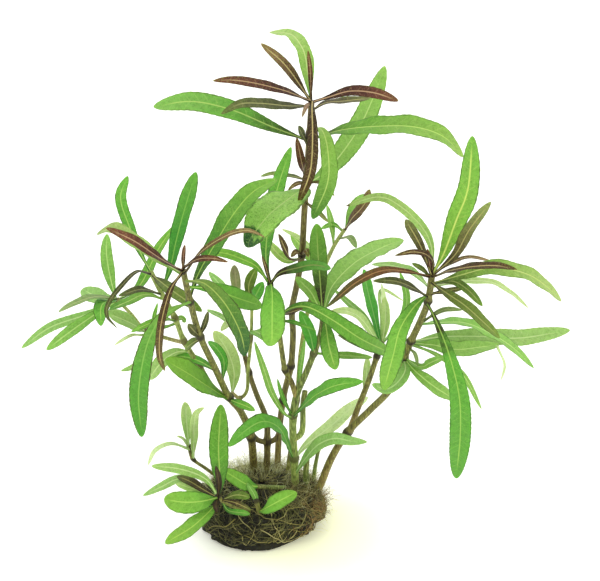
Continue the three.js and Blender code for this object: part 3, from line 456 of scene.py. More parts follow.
# Stems: look, radii at the foot and the top, swollen nodes as points of the path, and the path
STEMS = [
    stem("tall", "stem_brown", (1.15, 1.05), (2, 4, 6, 8, 10, 11), (277, 474, -14), (279, 434, -12),
        (283, 400, -10), (287, 382, -9), (291, 366, -8), (293, 335, -7), (292, 310, -5), (297, 284, -3),
        (302, 254, -2), (304, 218, 0), (306.5, 180, 1), (309.5, 135, 3), (311.5, 102, 4)),
    stem("centre_right", "stem_green", (1.5, 0.95), (1, 3, 6, 8), (295, 492, -2), (294, 457, 2),
        (293, 436, 4), (293, 415, 6), (297, 394, 7), (306, 373, 9), (314, 353, 11), (321, 332, 12),
        (323, 313, 13)),
    stem("right_back", "stem_back", (0.9, 0.7), (2, 4, 5), (286, 482, -10), (292, 440, -14),
        (297, 400, -18), (301, 350, -24), (310, 303, -29), (324, 268, -32), (334, 246, -34),
        (345, 229, -36)),
    stem("left_front", "stem_olive", (1.5, 1.0), (1, 3, 5, 6), (254, 474, -14), (251, 437, -4),
        (241, 412, 4), (229, 397, 10), (215, 368, 18), (200, 336, 26), (190, 301, 32), (183, 270, 36)),
    stem("right_front", "stem_olive", (1.4, 1.1), (2, 5, 6, 8), (319, 488, 0), (331.5, 458, 4),
        (348, 432, 8), (370, 410, 13), (391, 388, 18), (404, 358, 23), (411, 341, 25), (421, 320, 28),
        (428, 301, 31), (432, 275, 36)),
    stem("middle", "stem_brown", (1.3, 0.75), (1, 4, 5), (266.5, 480, -11), (267.3, 441, -10),
        (266, 418, -9), (256, 393, -6), (249, 372, -4), (242, 343, -2), (238, 308, 0)),
    stem("low_left", "stem_olive", (0.8, 0.9), (3,), (250, 513, 17), (236, 507, 22), (223, 501, 27),
        (217.5, 496, 29)),
    stem("low_front", "stem_olive", (1.0, 0.8), (2,), (261, 517, 17), (259, 511, 19), (256, 500, 19)),
    stem("low_back_left", "stem_olive", (0.7, 0.6), (2, 3), (228, 486, -6), (208, 470, -3), (193, 459, -1),
        (188.5, 445, 0)),
    stem("centre", "stem_olive", (1.0, 0.8), (2, 4, 5), (296, 396, 7), (291, 381, 9), (285, 370, 11),
        (281, 345, 14), (277, 316, 17), (270, 283, 20), parent="centre_right"),
    stem("left_back", "stem_back", (0.9, 0.9), (2, 3, 4), (227, 398, 9), (212, 386, 7), (199, 365, 8),
        (184, 341, 8), (175, 318, 6), (161, 292, 4), (150.5, 271, 2), parent="left_front"),
    stem("right_middle", "stem_olive", (1.1, 0.9), (3,), (349, 432, 8), (358, 408, 4), (369, 380, 1),
        (377, 356, -1), (382, 341, -3), parent="right_front"),
    stem("middle_left", "stem_back", (0.7, 0.6), (1, 4), (232, 393, 9), (240, 398, 6), (247, 390, 3),
        (248, 370, 3), (251, 338, 5), (252, 303, 4), parent="left_front"),
    stem("far_left", "stem_back", (0.75, 0.65), (2, 4), (185, 343, 8), (166, 338, 2), (146, 331, -3),
        (131, 314, -8), (117, 299, -12), parent="left_back"),
]

# Leaves by stem, each a piece of its own: the width seen in pixels, the look and the midrib
LEAVES = {}
LEAVES["tall"] = [
    leaf("tall_top_arch", 14, "lime", (311, 101, 4), (308.5, 80, 2), (305.5, 58, -1), (300.8, 45.5, -4),
        (290.5, 34.2, -9), (269.5, 32, -15), peak=0.36, turn=12),
    leaf("tall_bronze_upper", 10, "bronze", (310, 100, 5), (285.8, 65.8, 9), (261, 43.5, 11)),
    leaf("tall_red_left", 9.5, "red", (310, 101, 5), (286, 91.2, 11), (255, 83.2, 16), (231, 80, 18.5),
        (213, 80.8, 20)),
    leaf("tall_red_right", 11.5, "red", (313, 102, 4), (329, 97, 3), (350, 91.2, 1), (374, 92.8, -1),
        (398.5, 100.8, -3)),
    leaf("tall_brown_front", 12, "brown", (312, 102, 5), (312, 112, 11), (312.5, 140, 16), (310, 172, 15),
        (298.5, 203, 13)),
    leaf("tall_big_left", 20, "olive_lit", (308, 140.5, 3), (272, 126.8, 4), (232, 110, 5), (192, 101.5, 4),
        (153.4, 106.6, 1), peak=0.62),
    leaf("tall_big_right", 17.5, "light_end", (311, 139.5, 4), (340, 130.5, 10), (376, 126.5, 15),
        (414, 127, 19), (443, 136.5, 20), (463.5, 156.5, 18)),
    leaf("tall_light_back", 24, "light", (307, 184, 0), (324, 173, -7), (342, 153, -14), (360, 126, -20),
        (373, 98, -24), (385, 66, -26)),
    leaf("tall_drooping_right", 17.5, "fading", (312, 129, 4), (322, 130.5, 9), (327.8, 151, 13.5),
        (327.5, 183, 14), (312.5, 219, 10.5), turn=-14),
    leaf("tall_wide_speckled", 32, "speckled", (306, 188, 2), (293, 196, 9), (271, 213, 15),
        (257, 229.5, 18), (245, 246, 18), peak=0.5),
]
LEAVES["left_front"] = [
    leaf("left_red", 9, "red", (182, 271, 36), (160, 258.5, 42), (134, 241, 46), (106, 228, 48)),
    leaf("left_light_under", 14, "wan", (181, 274, 35), (160, 260, 35), (137, 243, 36), (114.5, 229, 36),
        (97, 233.5, 33)),
    leaf("left_brown_drooping", 8, "rust_brown", (182, 273, 37), (170, 291, 44), (161, 325, 48),
        (159.5, 355, 47), (165, 371, 45), peak=0.5),
    leaf("left_arch_right", 18, "arching", (186, 281, 36), (205, 284, 40), (225, 304, 43), (240, 332, 43),
        (245.6, 355.6, 40)),
    leaf("left_wide_behind", 19, "bright", (188, 287, 33), (212, 289, 30), (237, 298, 25), (262, 306, 19)),
    leaf("left_big_upper", 20.5, "dotted", (190, 298, 32), (198, 275, 31), (214, 246, 31), (233, 215, 30),
        (253, 192, 27), (277, 179, 23), peak=0.62),
    leaf("left_big_hanging", 20, "hanging", (190, 302, 33), (170, 311, 38), (157, 323, 39), (145, 352, 39),
        (138.5, 395, 36), (142, 437, 31)),
    leaf("left_low_wide", 19, "bright", (227, 399, 11), (207, 386, 15), (188, 373.5, 18), (165, 360, 19)),
]
LEAVES["centre"] = [
    leaf("centre_upright", 16, "green", (270, 282, 19), (266, 258, 15), (268, 230, 9), (277, 190, 4),
        (291, 147, 0), turn=-15),
    leaf("centre_left_arch", 9.5, "bright", (269, 283, 20), (257, 267, 21), (243, 259.5, 22),
        (226, 253.5, 22), (203, 251, 20)),
    leaf("centre_right_arch", 11, "brown_half", (271, 283, 20), (280, 273, 21), (297, 268, 21),
        (314, 265, 19), (331, 268.5, 16)),
    leaf("centre_front_drooping", 25.5, "bright", (270.5, 285, 21), (272, 293, 25), (272, 318, 27),
        (272, 346, 24), peak=0.5),
    leaf("centre_long_right", 18.5, "green", (278, 317, 17), (292, 308, 20), (309, 307.5, 22),
        (334, 321, 22), (362, 339.5, 20), (394, 354.5, 12), peak=0.62),
]
LEAVES["left_back"] = [
    leaf("left_back_upper", 11.5, "green", (150.5, 272, 2), (140, 252, -2), (129, 226, -6),
        (120.5, 198, -9), (127.8, 176, -12), peak=0.68, turn=14),
    leaf("left_back_upright", 16.2, "strap", (161, 292, 4), (170.2, 268, 3), (176.4, 240, 1),
        (184.4, 210, -2), (196, 172, -6), peak=0.7, turn=-12),
]
LEAVES["far_left"] = [
    leaf("far_left_long", 10, "pale", (116, 301, -12), (88, 314, -16), (50, 327.5, -19), (21.5, 348, -20)),
    leaf("far_left_second", 12, "light", (116, 302, -12), (92, 316.5, -11), (67, 334, -9), (46.5, 350, -8)),
]
LEAVES["centre_right"] = [
    leaf("centre_right_upright", 17.5, "half_dark", (322.5, 314, 12), (320, 280, 9), (317.6, 248, 7),
        (316.8, 223.6, 4), peak=0.64, turn=10),
    leaf("centre_right_hanging", 16.5, "green", (323, 318, 13), (326, 326, 15), (329, 346, 18),
        (335.6, 369.7, 19)),
    leaf("centre_right_light", 23, "light", (324, 313, 12), (332, 287, 4), (354, 263.5, -4),
        (378, 249.5, -12), (402.5, 239, -18)),
    leaf("centre_right_low_right", 12, "green", (293, 417, 6), (304, 405.5, 11), (317, 394.5, 15),
        (336, 385.5, 18), (363, 381.5, 18)),
    leaf("centre_right_low_left", 10.5, "deep", (293, 459, 2), (286, 440, 9), (278, 427, 14),
        (263, 421.5, 18.4), (245.5, 430.5, 21), (228.5, 446.5, 23), peak=0.66, turn=5),
]
LEAVES["right_front"] = [
    leaf("right_big_upright", 22.5, "lined", (433, 273, 36), (443.5, 254, 34), (456, 221, 31),
        (468, 188, 28), (472.5, 136, 22), peak=0.52, turn=12),
    leaf("right_light_arch", 10, "wan_tipped", (432, 271, 35), (431.5, 247, 28), (422, 227, 22),
        (400, 206, 18), (378, 197, 14), (346, 206, 8), peak=0.45),
    leaf("right_bronze_upper", 10, "bronze_olive", (431, 274, 37), (420.5, 246, 40), (405.5, 219.5, 42),
        peak=0.8),
    leaf("right_red_long_left", 8, "red_green", (430, 277, 36), (410, 272, 40), (383.6, 270.5, 43),
        (357, 282, 44), (327, 307, 42)),
    leaf("right_green_right", 15.5, "wan_end", (434, 283.5, 36), (460, 275.5, 39), (490, 268, 41),
        (512, 270, 42), (530, 275.5, 41), (546, 286, 39.5), (561.5, 301, 37), peak=0.5),
    leaf("right_olive_down", 12, "olive", (432, 283, 36), (447, 293.5, 42), (464, 305, 45), (481, 320, 46),
        (500, 338, 45)),
    leaf("right_big_down_left", 20, "bright", (428, 294, 31), (414, 307, 37), (400, 329, 40),
        (393, 356, 40), (383.8, 390, 35)),
    leaf("right_big_down", 22, "stalked", (427.5, 304.5, 33), (435, 318.5, 38), (448.3, 352, 42),
        (459, 395, 42), (460.2, 436, 38), (456, 478.5, 30), peak=0.62),
    leaf("right_light_right", 17, "pale", (412, 342, 24), (440, 337, 15), (480, 336.5, 7), (520, 338, 1),
        (570, 330, -5), peak=0.66),
]
LEAVES["low_left"] = [
    leaf("low_left_upright", 20, "green", (218, 497, 28), (220, 481, 25), (218.5, 447, 20),
        (221, 404.4, 13), peak=0.5, turn=8),
    leaf("low_left_wide", 23, "bright", (216.5, 498, 30), (200, 501.5, 34), (182, 502, 35), (164, 499, 34),
        peak=0.6),
    leaf("low_left_down", 16, "bright", (217, 503, 30), (207, 514, 34), (190, 528.5, 36), (165, 543, 35),
        peak=0.5),
]
LEAVES["low_front"] = [
    leaf("low_front_oval", 15.5, "bright", (259.5, 512, 19), (269, 506.5, 23), (282, 499.5, 23),
        (296.5, 492, 20)),
]

# Small leaves and buds by stem, fused to it
SMALL_LEAVES = {}
SMALL_LEAVES["tall"] = [
    leaf("bud_red", 5, "red", (311, 102, 4), (310.5, 74, 7), (308, 50.5, 8)),
    leaf("olive_left", 10, "dusk", (311, 106, 4), (288, 106, 13), (262, 103.5, 19), (240, 104, 23),
        (221, 114, 25), turn=-10),
    leaf("bud_pink", 4.5, "pink", (311, 102, 4), (306, 107, 9), (302, 117, 11)),
    leaf("narrow_right", 7, "bronze_olive", (312, 110, 3), (326, 103, -1), (345, 101, -5), (370, 98, -9)),
    leaf("red_bud_left", 7, "red", (306.5, 183, 1), (302, 164, 7), (296.7, 137.7, 10)),
    leaf("olive_back_left", 5.5, "olive", (306, 179.5, 1), (290, 176, -4), (273, 174, -9),
        (260.5, 176, -12)),
    leaf("brown_left", 4.5, "bronze", (306, 182, 1), (296, 184, 5), (288, 190, 6)),
    leaf("brown_right", 5, "bronze_green", (305.5, 202, 0), (317, 211, 4), (328, 222, 6)),
    leaf("dark_narrow", 6, "brown", (302, 258, -2), (293, 260, 3), (287, 253, 6), (278.5, 234, 7)),
    leaf("lime_left", 9, "lime", (301.5, 258, -2), (289, 261, -3), (278, 254, -4), (268, 241, -5)),
    leaf("node_bud_left", 4, "bronze", (302, 255, -2), (296, 252, 1), (291, 257, 2)),
    leaf("node_bud_right", 4, "bronze", (302, 255, -2), (306, 250, 1), (308.5, 257, 2)),
    leaf("green_bud", 5, "dusk", (308, 146, 2), (303, 136, 5), (298.5, 126, 7)),
    leaf("brown_behind", 4, "bronze_green", (306, 183, 1), (322, 183, 3), (334.5, 196, 5)),
]
SMALL_LEAVES["left_front"] = [
    leaf("small_red_up", 4.5, "red", (183, 270, 36), (183.5, 257, 38), (185, 245, 39)),
    leaf("red_right", 6, "red", (183, 268, 36), (197, 259.5, 41), (213, 258.3, 43), (228, 262, 44)),
    leaf("thin_arch", 5, "bronze", (184, 274, 36), (200, 253, 41), (225, 236.3, 43), (247, 230.5, 43),
        (265, 237, 41)),
    leaf("pale_low", 17, "faint", (232, 396, 9), (234, 372, 5), (227, 350, 2), (214, 331, -1)),
    leaf("dark_low", 9, "deep", (222, 383, 14), (224, 362, 12), (217, 349, 10), (208.5, 341, 7)),
    leaf("deep_low_left", 9, "green", (217, 372, 17), (203, 363, 13), (190, 358, 11), (173, 355, 8)),
    leaf("short_low_right", 8.5, "green", (229, 399.5, 10), (238, 403, 13), (247, 406.5, 15),
        (255, 410.5, 16)),
    leaf("bud_right", 6, "dusk", (200, 336, 26), (205, 323, 27), (208, 311.5, 27)),
    leaf("bud_left", 7, "dusk", (200, 337, 26), (194, 331, 29), (188, 324, 30)),
    leaf("short_left", 8, "olive", (201, 339, 26), (193, 343, 24), (185, 349, 22)),
]
SMALL_LEAVES["centre"] = [
    leaf("dark_bud", 4, "brown", (270, 284, 20), (266, 268, 22), (262, 256, 23)),
    leaf("brown_narrow", 4, "brown", (277.5, 317, 17), (287, 313.5, 23), (303, 308.5, 27)),
    leaf("teal_narrow", 4, "green", (277.5, 320, 17), (292, 322, 21), (304, 326, 22), (316, 330.5, 22)),
    leaf("drooping_bud", 4, "brown", (270, 283, 20), (271.5, 290, 22), (275, 297, 22)),
]
SMALL_LEAVES["left_back"] = [
    leaf("dark_arch", 5, "dusk", (151, 274, 2), (137, 271.5, 9), (121.5, 285.5, 15), (108.5, 303, 19),
        (107, 316, 19), (117, 328, 17)),
    leaf("dark_left", 5.5, "dusk", (161, 294, 4), (141, 289.5, 10), (118.5, 296, 13)),
    leaf("green_left", 8.5, "fading", (163, 299, 4), (145, 294.5, 5), (127, 302, 7), (109, 309.5, 7)),
    leaf("pale_behind", 13, "pale", (190, 351, 8), (175, 353, 5), (161, 363, 2), (149, 379, -1)),
    leaf("olive_down", 13, "olive", (152, 275, 2), (166, 286, 9), (184, 299, 14), (202, 311.5, 16)),
    leaf("narrow_low", 6.5, "green", (176, 321, 6), (164, 319, 10), (147, 324.5, 13), (131, 332, 13)),
    leaf("short_low", 5.5, "light", (176, 321, 6), (181, 318, 4), (186, 322, 3)),
    leaf("small_low_up", 5, "green", (177, 323, 6), (163, 327, 4), (154.5, 320, 2), (157.5, 303, 0)),
]
SMALL_LEAVES["far_left"] = [
    leaf("upright", 13, "light", (116, 300, -12), (110, 276, -17), (106.5, 254, -21), (107, 234, -24)),
    leaf("blunt", 17, "pale", (117, 301, -12), (103, 300, -17), (92, 294.5, -21), (82, 289, -24),
        peak=0.62),
    leaf("short_down", 11, "green", (116, 300, -12), (102, 305, -5), (101, 326, -2), peak=0.4),
    leaf("dark_arch", 6, "sage", (117, 299, -12), (95, 296.8, -6), (75, 303, -3), (58.5, 312, -1)),
    leaf("pale_right", 14, "pale", (146, 332, -3), (128, 322, 0), (107, 313, 2)),
    leaf("pale_low", 7, "pale", (146, 332, -3), (145, 350, -9), (136, 365, -12), (121, 371, -13)),
    leaf("narrow_behind", 10, "green", (118, 300, -12), (139.5, 286, -19), (158, 250, -26),
        (175, 225, -30)),
    leaf("thin_low", 3, "milky", (143, 335, -3), (131, 335.5, 1), (114.5, 345, 3)),
]
SMALL_LEAVES["centre_right"] = [
    leaf("teal_node", 13, "teal", (314, 354, 11), (311, 338, 13), (306, 324, 13), (300, 311, 12)),
    leaf("narrow_right", 7, "light", (314, 353, 11), (330, 354.5, 12), (350, 356, 11), (372.5, 357.4, 9)),
    leaf("teal_upper", 12, "light", (322.5, 315, 13), (312, 294, 10), (304, 285, 7), (296, 277, 5)),
    leaf("thin_left", 7, "light", (293, 418, 6), (284, 413, 9), (272, 393, 10), (264.8, 372, 10),
        (254.5, 341.3, 8)),
    leaf("dark_sliver", 4.5, "deep", (293, 417, 6), (283, 398, 10), (277.4, 379, 12)),
    # This leaf is lightened as painted light against the shade of the leaves over it
    leaf("pale_low_right", 13, "milky", (294, 460, 2), (304, 447, 3), (318, 436, 3), (334, 423.5, 1),
        (350, 409, -1), (368, 397, -4)),
    leaf("green_low_right", 11, "pale", (295, 474, 0), (306, 458, 6), (318, 445, 11), (334, 438.5, 14),
        (351, 441, 15), (367, 442, 15), turn=8),
    # This olive leaf is given the light look: painted light that offsets the shade it sits in
    leaf("olive_upright", 5, "light", (297, 395, 7), (301.5, 362, 8), (305, 338, 8)),
    leaf("low_wide_left", 15.5, "bright", (259, 487, 8.5), (247, 484.5, 11), (235, 477.5, 12.5),
        (222, 469.5, 13), peak=0.5),
]
SMALL_LEAVES["right_back"] = [
    leaf("wide_back", 16, "light", (345, 230, -36), (352, 215, -39), (359.5, 204.5, -42), (368, 195, -45)),
    leaf("brown_front", 9.5, "bronze", (345, 230, -36), (352.5, 218, -33), (360.5, 209.5, -32),
        (367, 200, -31.5), (369.8, 189.5, -31)),
    leaf("thin_right", 5, "sage", (340, 238, -35), (350, 238, -31), (356.5, 248, -29)),
    leaf("thin_left", 5, "green", (343, 231, -36), (333, 224.5, -39), (321, 228.5, -41)),
    leaf("light_vertical", 6, "light", (334, 246, -34), (331, 222, -39), (327, 205, -42)),
    leaf("pale_left", 12, "light", (324, 269, -32), (309, 255, -37), (291, 234, -42)),
    leaf("pale_upper_left", 5, "faint", (326, 264, -32), (302, 240, -33), (282, 229, -34)),
]
SMALL_LEAVES["right_front"] = [
    leaf("purple_bud", 7, "red", (432, 275, 36), (429, 261, 38), (427.5, 249, 38)),
    leaf("bronze_right_up", 12, "bronze_green", (432, 276, 36), (455, 255, 37), (470, 229, 39),
        (491, 202, 40), peak=0.6),
    leaf("brown_left_high", 5, "brown", (432, 273, 36), (433, 262, 39), (425, 254, 41.5), (412, 252, 42.5),
        (395, 255.5, 43)),
    leaf("olive_left", 6.5, "dusk", (428.5, 297, 32), (410, 286.5, 37), (394, 281, 40), (373, 281, 41)),
    leaf("dark_right", 7.5, "brown", (432, 277, 36), (448, 271.3, 42), (472, 266.8, 47), (496, 265.7, 50),
        (517, 269.4, 51)),
    leaf("brown_behind_right", 4.5, "bronze", (432, 274, 36), (452, 262.5, 32), (469, 257.3, 31),
        (492, 261, 29)),
    leaf("yellow_right", 7, "faint", (431, 287, 34), (460, 281.5, 26), (490, 282, 23), (510, 292, 21),
        (528.6, 308, 19), peak=0.4),
    leaf("short_right", 8.5, "olive", (431, 284, 34), (452, 281, 32), (468, 290, 33), (482.5, 306, 33)),
    leaf("bud_left", 5, "olive", (431.5, 278, 35), (422, 269, 37), (412, 263.5, 39)),
    leaf("brown_low_right", 6, "bronze_olive", (430, 294, 33), (446, 291, 32), (464, 288, 32)),
    leaf("bronze_low_right", 5, "sage", (424, 321, 28), (434, 314.5, 29), (446, 309.5, 30), (462, 310, 31)),
    leaf("light_arch_right", 10, "light", (421, 324, 28), (445, 322.5, 20), (466, 323.3, 15),
        (490, 333.3, 12), (512, 347, 9), (534, 368, 7), peak=0.5),
    leaf("mid_right", 15, "light", (411, 344, 25), (432, 345, 24), (456, 349.5, 22), (478, 347.5, 20),
        (499, 344.5, 18), peak=0.5),
    leaf("low_right", 13, "light", (404, 359, 23), (416, 372, 26), (434, 386.5, 26), (454, 399, 24)),
    leaf("teal_low_right", 6, "light", (410, 344, 25), (437, 355, 21), (463, 375, 18), (481.5, 409, 17)),
    leaf("narrow_low_right", 7, "light", (405, 358, 23), (420, 367, 28), (432, 362, 29), (446, 356, 28)),
    leaf("pale_low_left", 13, "pale", (404, 360, 23), (405, 371, 28), (397, 383, 31), (386, 389, 31),
        (372, 384, 29), peak=0.5),
    leaf("pale_far_left", 8, "pale", (430, 288, 34), (412, 272, 24), (393, 266, 17), (372, 264, 10)),
    leaf("dark_low_bud", 4, "sage", (409, 348, 24), (415, 354, 27), (418, 366, 28)),
    leaf("pale_curl", 2.5, "milky", (497, 346, 18), (504.6, 364.6, 17), (501, 380.5, 18)),
]
SMALL_LEAVES["right_middle"] = [
    leaf("tall_upright", 11, "teal", (381, 346, -3), (374.5, 318, -2), (368, 292, 0), (363.4, 269.4, 2)),
    leaf("thin_upright", 6, "milky", (382, 345, -3), (385, 312, -8), (381.4, 283.6, -10)),
    leaf("wide_upright", 10, "faint", (382, 346, -3), (385.5, 320, -2), (384.8, 297, -1)),
    leaf("curved_right", 7, "light", (382, 344, -3), (401, 320, -10), (407, 298, -13), (400, 272, -15)),
    leaf("narrow_up_left", 7, "pale", (381, 344, -3), (366, 319, -9), (350, 304, -13), (334.5, 290, -16)),
    leaf("pale_left", 8, "faint", (380, 347, -2), (363, 321, 3), (348, 311.5, 5), (330, 311.5, 6)),
    leaf("pale_strip", 8, "faint", (364, 394, 0), (366, 380, -4), (367, 368, -6), (367.5, 357, -8)),
    leaf("dark_left", 4.5, "dusk", (378, 353, -1), (365, 348, 5), (352, 342, 8), (338, 335, 10)),
    leaf("pale_sliver", 3, "faint", (382, 343, -3), (381, 318, -6), (381, 290, -10), (404, 301, -12)),
]
SMALL_LEAVES["middle"] = [
    leaf("purple_blunt", 10, "greyed", (238, 309, 0), (236.5, 290, -1), (234.5, 265, -1), peak=0.7),
    leaf("pale_upper_left", 9, "pale", (238, 311, 0), (225, 291, -6), (209, 272, -11)),
    leaf("pale_narrow_left", 5.5, "pale", (238.5, 326, 0), (229, 321.5, -3), (219, 315.5, -6),
        (207, 309.5, -9)),
    leaf("light_low_left", 6, "faint", (239, 321, -1), (230, 322, 3), (221, 331, 5)),
]
SMALL_LEAVES["middle_left"] = [
    leaf("olive_upright", 11, "olive", (252, 304, 4), (248.5, 286, 2), (256, 268, 0)),
    leaf("teal_short", 11, "deep", (252, 304, 4), (257, 293, 7), (263, 282, 8)),
    leaf("green_low", 10, "light", (251, 331, 5), (259, 333, 9), (270, 342, 12)),
]
SMALL_LEAVES["low_left"] = [
    leaf("dark_upright", 6.5, "umber", (217.5, 498, 29), (219, 484, 32), (216, 466, 34)),
    leaf("dark_down", 6, "umber", (218, 497, 28), (216, 505, 33), (217, 513, 34)),
    leaf("pale_upper", 10, "pale", (218, 496, 28), (205, 478.5, 24), (180, 469, 22), (151.5, 466, 20)),
    leaf("pale_left", 9, "pale", (219, 498, 28), (200, 487, 22), (180, 479, 17), (161, 487, 15),
        (143, 495.6, 14)),
    leaf("olive_up_left", 9, "brown_green", (218, 498, 28), (204, 490, 24), (190, 481.5, 20),
        (177, 476, 16)),
    leaf("lime_left", 9, "lime", (219, 499, 28), (198, 490.5, 23), (176, 483.5, 19)),
    leaf("olive_right", 9, "olive", (222, 500, 27), (236, 495, 25), (250, 497, 23)),
    leaf("green_right", 7, "green", (222, 502, 27), (228, 510.5, 28), (238, 512.5, 28), (250, 513.5, 26)),
    leaf("olive_low_right", 6, "brown_green", (223, 500, 28), (236, 503, 31), (251, 510, 30)),
]
SMALL_LEAVES["low_front"] = [
    leaf("back", 7, "light", (258, 509, 19), (255, 496, 17), (247, 483, 15)),
]
SMALL_LEAVES["low_back_left"] = [
    leaf("light_up", 11, "faint", (188.5, 446, 0), (187, 428, -1), (185, 402, -4), peak=0.66),
    leaf("curved_up", 8.5, "faint", (193, 459, -1), (193.8, 440, 2), (194, 424, 4), (196.5, 413, 5),
        (204, 407.5, 5)),
    leaf("thin_arch", 4.5, "milky", (189, 449, 0), (171, 443.5, 5), (155, 450.5, 8), (148, 465, 9),
        peak=0.72),
    leaf("thin_left", 3, "faint", (189, 447, 0), (183, 439, 2), (177, 436, 3)),
]

# Short cut ends, one thin shoot and, last, the bow of root that joins three stems above the plug:
# what each grows on, its radii and its path
SHOOTS = [
    shoot("centre_right", (1.1, 1.0), (293, 440, 4), (302, 431, 2), (303, 405, 2), (305, 391, 2)),
    shoot("root_plug", (1.2, 1.0), (306, 490, -3), (306, 472, -2), (307, 457, -1)),
    shoot("centre_right", (0.9, 0.8), (293, 488, -2), (275, 487.5, 4), (257, 486.5, 9)),
    shoot("root_plug", (0.9, 0.5), (312, 487, -6), (316, 462, -5), (321.5, 445, -4), (341, 421, -2)),
    shoot("middle", (1.1, 0.9), (250, 429, -3), (253.5, 436, -5), (259, 440.5, -7.5), (267, 442, -10),
        (273, 440.5, -11), (277, 437, -12), (279.5, 430, -12)),
]


def linear(text, tint=(1.0, 1.0, 1.0)):
    """A colour written as #rrggbb becomes the linear one that shaders read, times a tint."""
    parts = [int(text[i:i + 2], 16) / 255 for i in (1, 3, 5)]
    linear_parts = [part / 12.92 if part <= 0.04045 else ((part + 0.055) / 1.055) ** 2.4 for part in parts]
    return (*(part * share for part, share in zip(linear_parts, tint)), 1.0)


def tinted(text):
    return linear(text, LEAF_TINT)


class Graph:
    """Short ways to add a material's nodes and to wire them."""

    def __init__(self, name):
        self.material = bpy.data.materials.new(name)
        self.material.use_nodes = True
        self.tree = self.material.node_tree
        self.tree.nodes.clear()
        self.place = self.add("TexCoord").outputs["Object"]

    def add(self, kind, fed=None, **settings):
        """A new node with its settings; fed gives sockets their links or values."""
        node = self.tree.nodes.new("ShaderNode" + kind)
        for name, value in settings.items():
            setattr(node, name, value)
        for socket, value in (fed or {}).items():
            if isinstance(value, bpy.types.NodeSocket):
                self.tree.links.new(value, node.inputs[socket])
            else:
                node.inputs[socket].default_value = value
        return node

    def math(self, operation, *values):
        return self.add("Math", dict(enumerate(values)), operation=operation).outputs[0]

    def times(self, first, second):
        return self.math("MULTIPLY", first, second)

    def moved(self, value, cloud, amount):
        """A value that a cloud moves up and down."""
        return self.math("MULTIPLY_ADD", self.math("SUBTRACT", cloud, 0.5), amount, value)

    def mark(self, name):
        return self.add("Attribute", attribute_name=name).outputs["Fac"]

    def noise(self, scale, detail=2.0, squeeze=None):
        place = self.place
        if squeeze:
            place = self.add("Mapping", {"Vector": place, "Scale": squeeze}).outputs[0]
        return self.add("TexNoise", {"Vector": place, "Scale": scale, "Detail": detail}).outputs["Fac"]

    def cells(self, scale):
        return self.add("TexVoronoi", {"Vector": self.place, "Scale": scale}).outputs["Distance"]

    def span(self, value, low, high, out_low=0.0, out_high=1.0):
        fed = dict(enumerate((value, low, high, out_low, out_high)))
        return self.add("MapRange", fed, interpolation_type="SMOOTHSTEP").outputs["Result"]

    def mix(self, share, first, second, way="MIX"):
        fed = {"Factor": share, 6: first, 7: second}
        return self.add("Mix", fed, data_type="RGBA", blend_type=way).outputs[2]

    def ramp(self, share, stops):
        node = self.add("ValToRGB", {"Fac": share})
        elements = node.color_ramp.elements
        for (place, colour), element in zip(stops, elements):
            element.position = place
            element.color = colour
        for place, colour in stops[len(elements):]:
            elements.new(place).color = colour
        return node.outputs["Color"]

    def vary(self, colour, seed, hue, value):
        """A colour turned and lightened a little by a piece's seed."""
        turned = self.math("FRACT", self.times(seed, SEED_TURN))
        hue = self.span(seed, 0, 1, 0.5 - hue, 0.5 + hue)
        value = self.span(turned, 0, 1, 1 - value, 1 + value)
        return self.add("HueSaturation", {"Color": colour, "Hue": hue, "Value": value}).outputs["Color"]

    def surface(self, colour, roughness, height, relief, soft, gloss, more=None):
        bump = self.add("Bump", {"Strength": relief, "Distance": BUMP_DISTANCE, "Height": height})
        fed = {"Base Color": colour, "Roughness": roughness, "Normal": bump.outputs[0], **(more or {})}
        shader = self.add("BsdfPrincipled", fed)
        shader.inputs["Specular IOR Level"].default_value = gloss
        if soft:
            shader.inputs["Subsurface Weight"].default_value = soft
            shader.inputs["Subsurface Radius"].default_value = SOFT_RADIUS
            shader.inputs["Subsurface Scale"].default_value = SOFT_SCALE
        self.add("OutputMaterial", {"Surface": shader.outputs[0]})
        return self.material


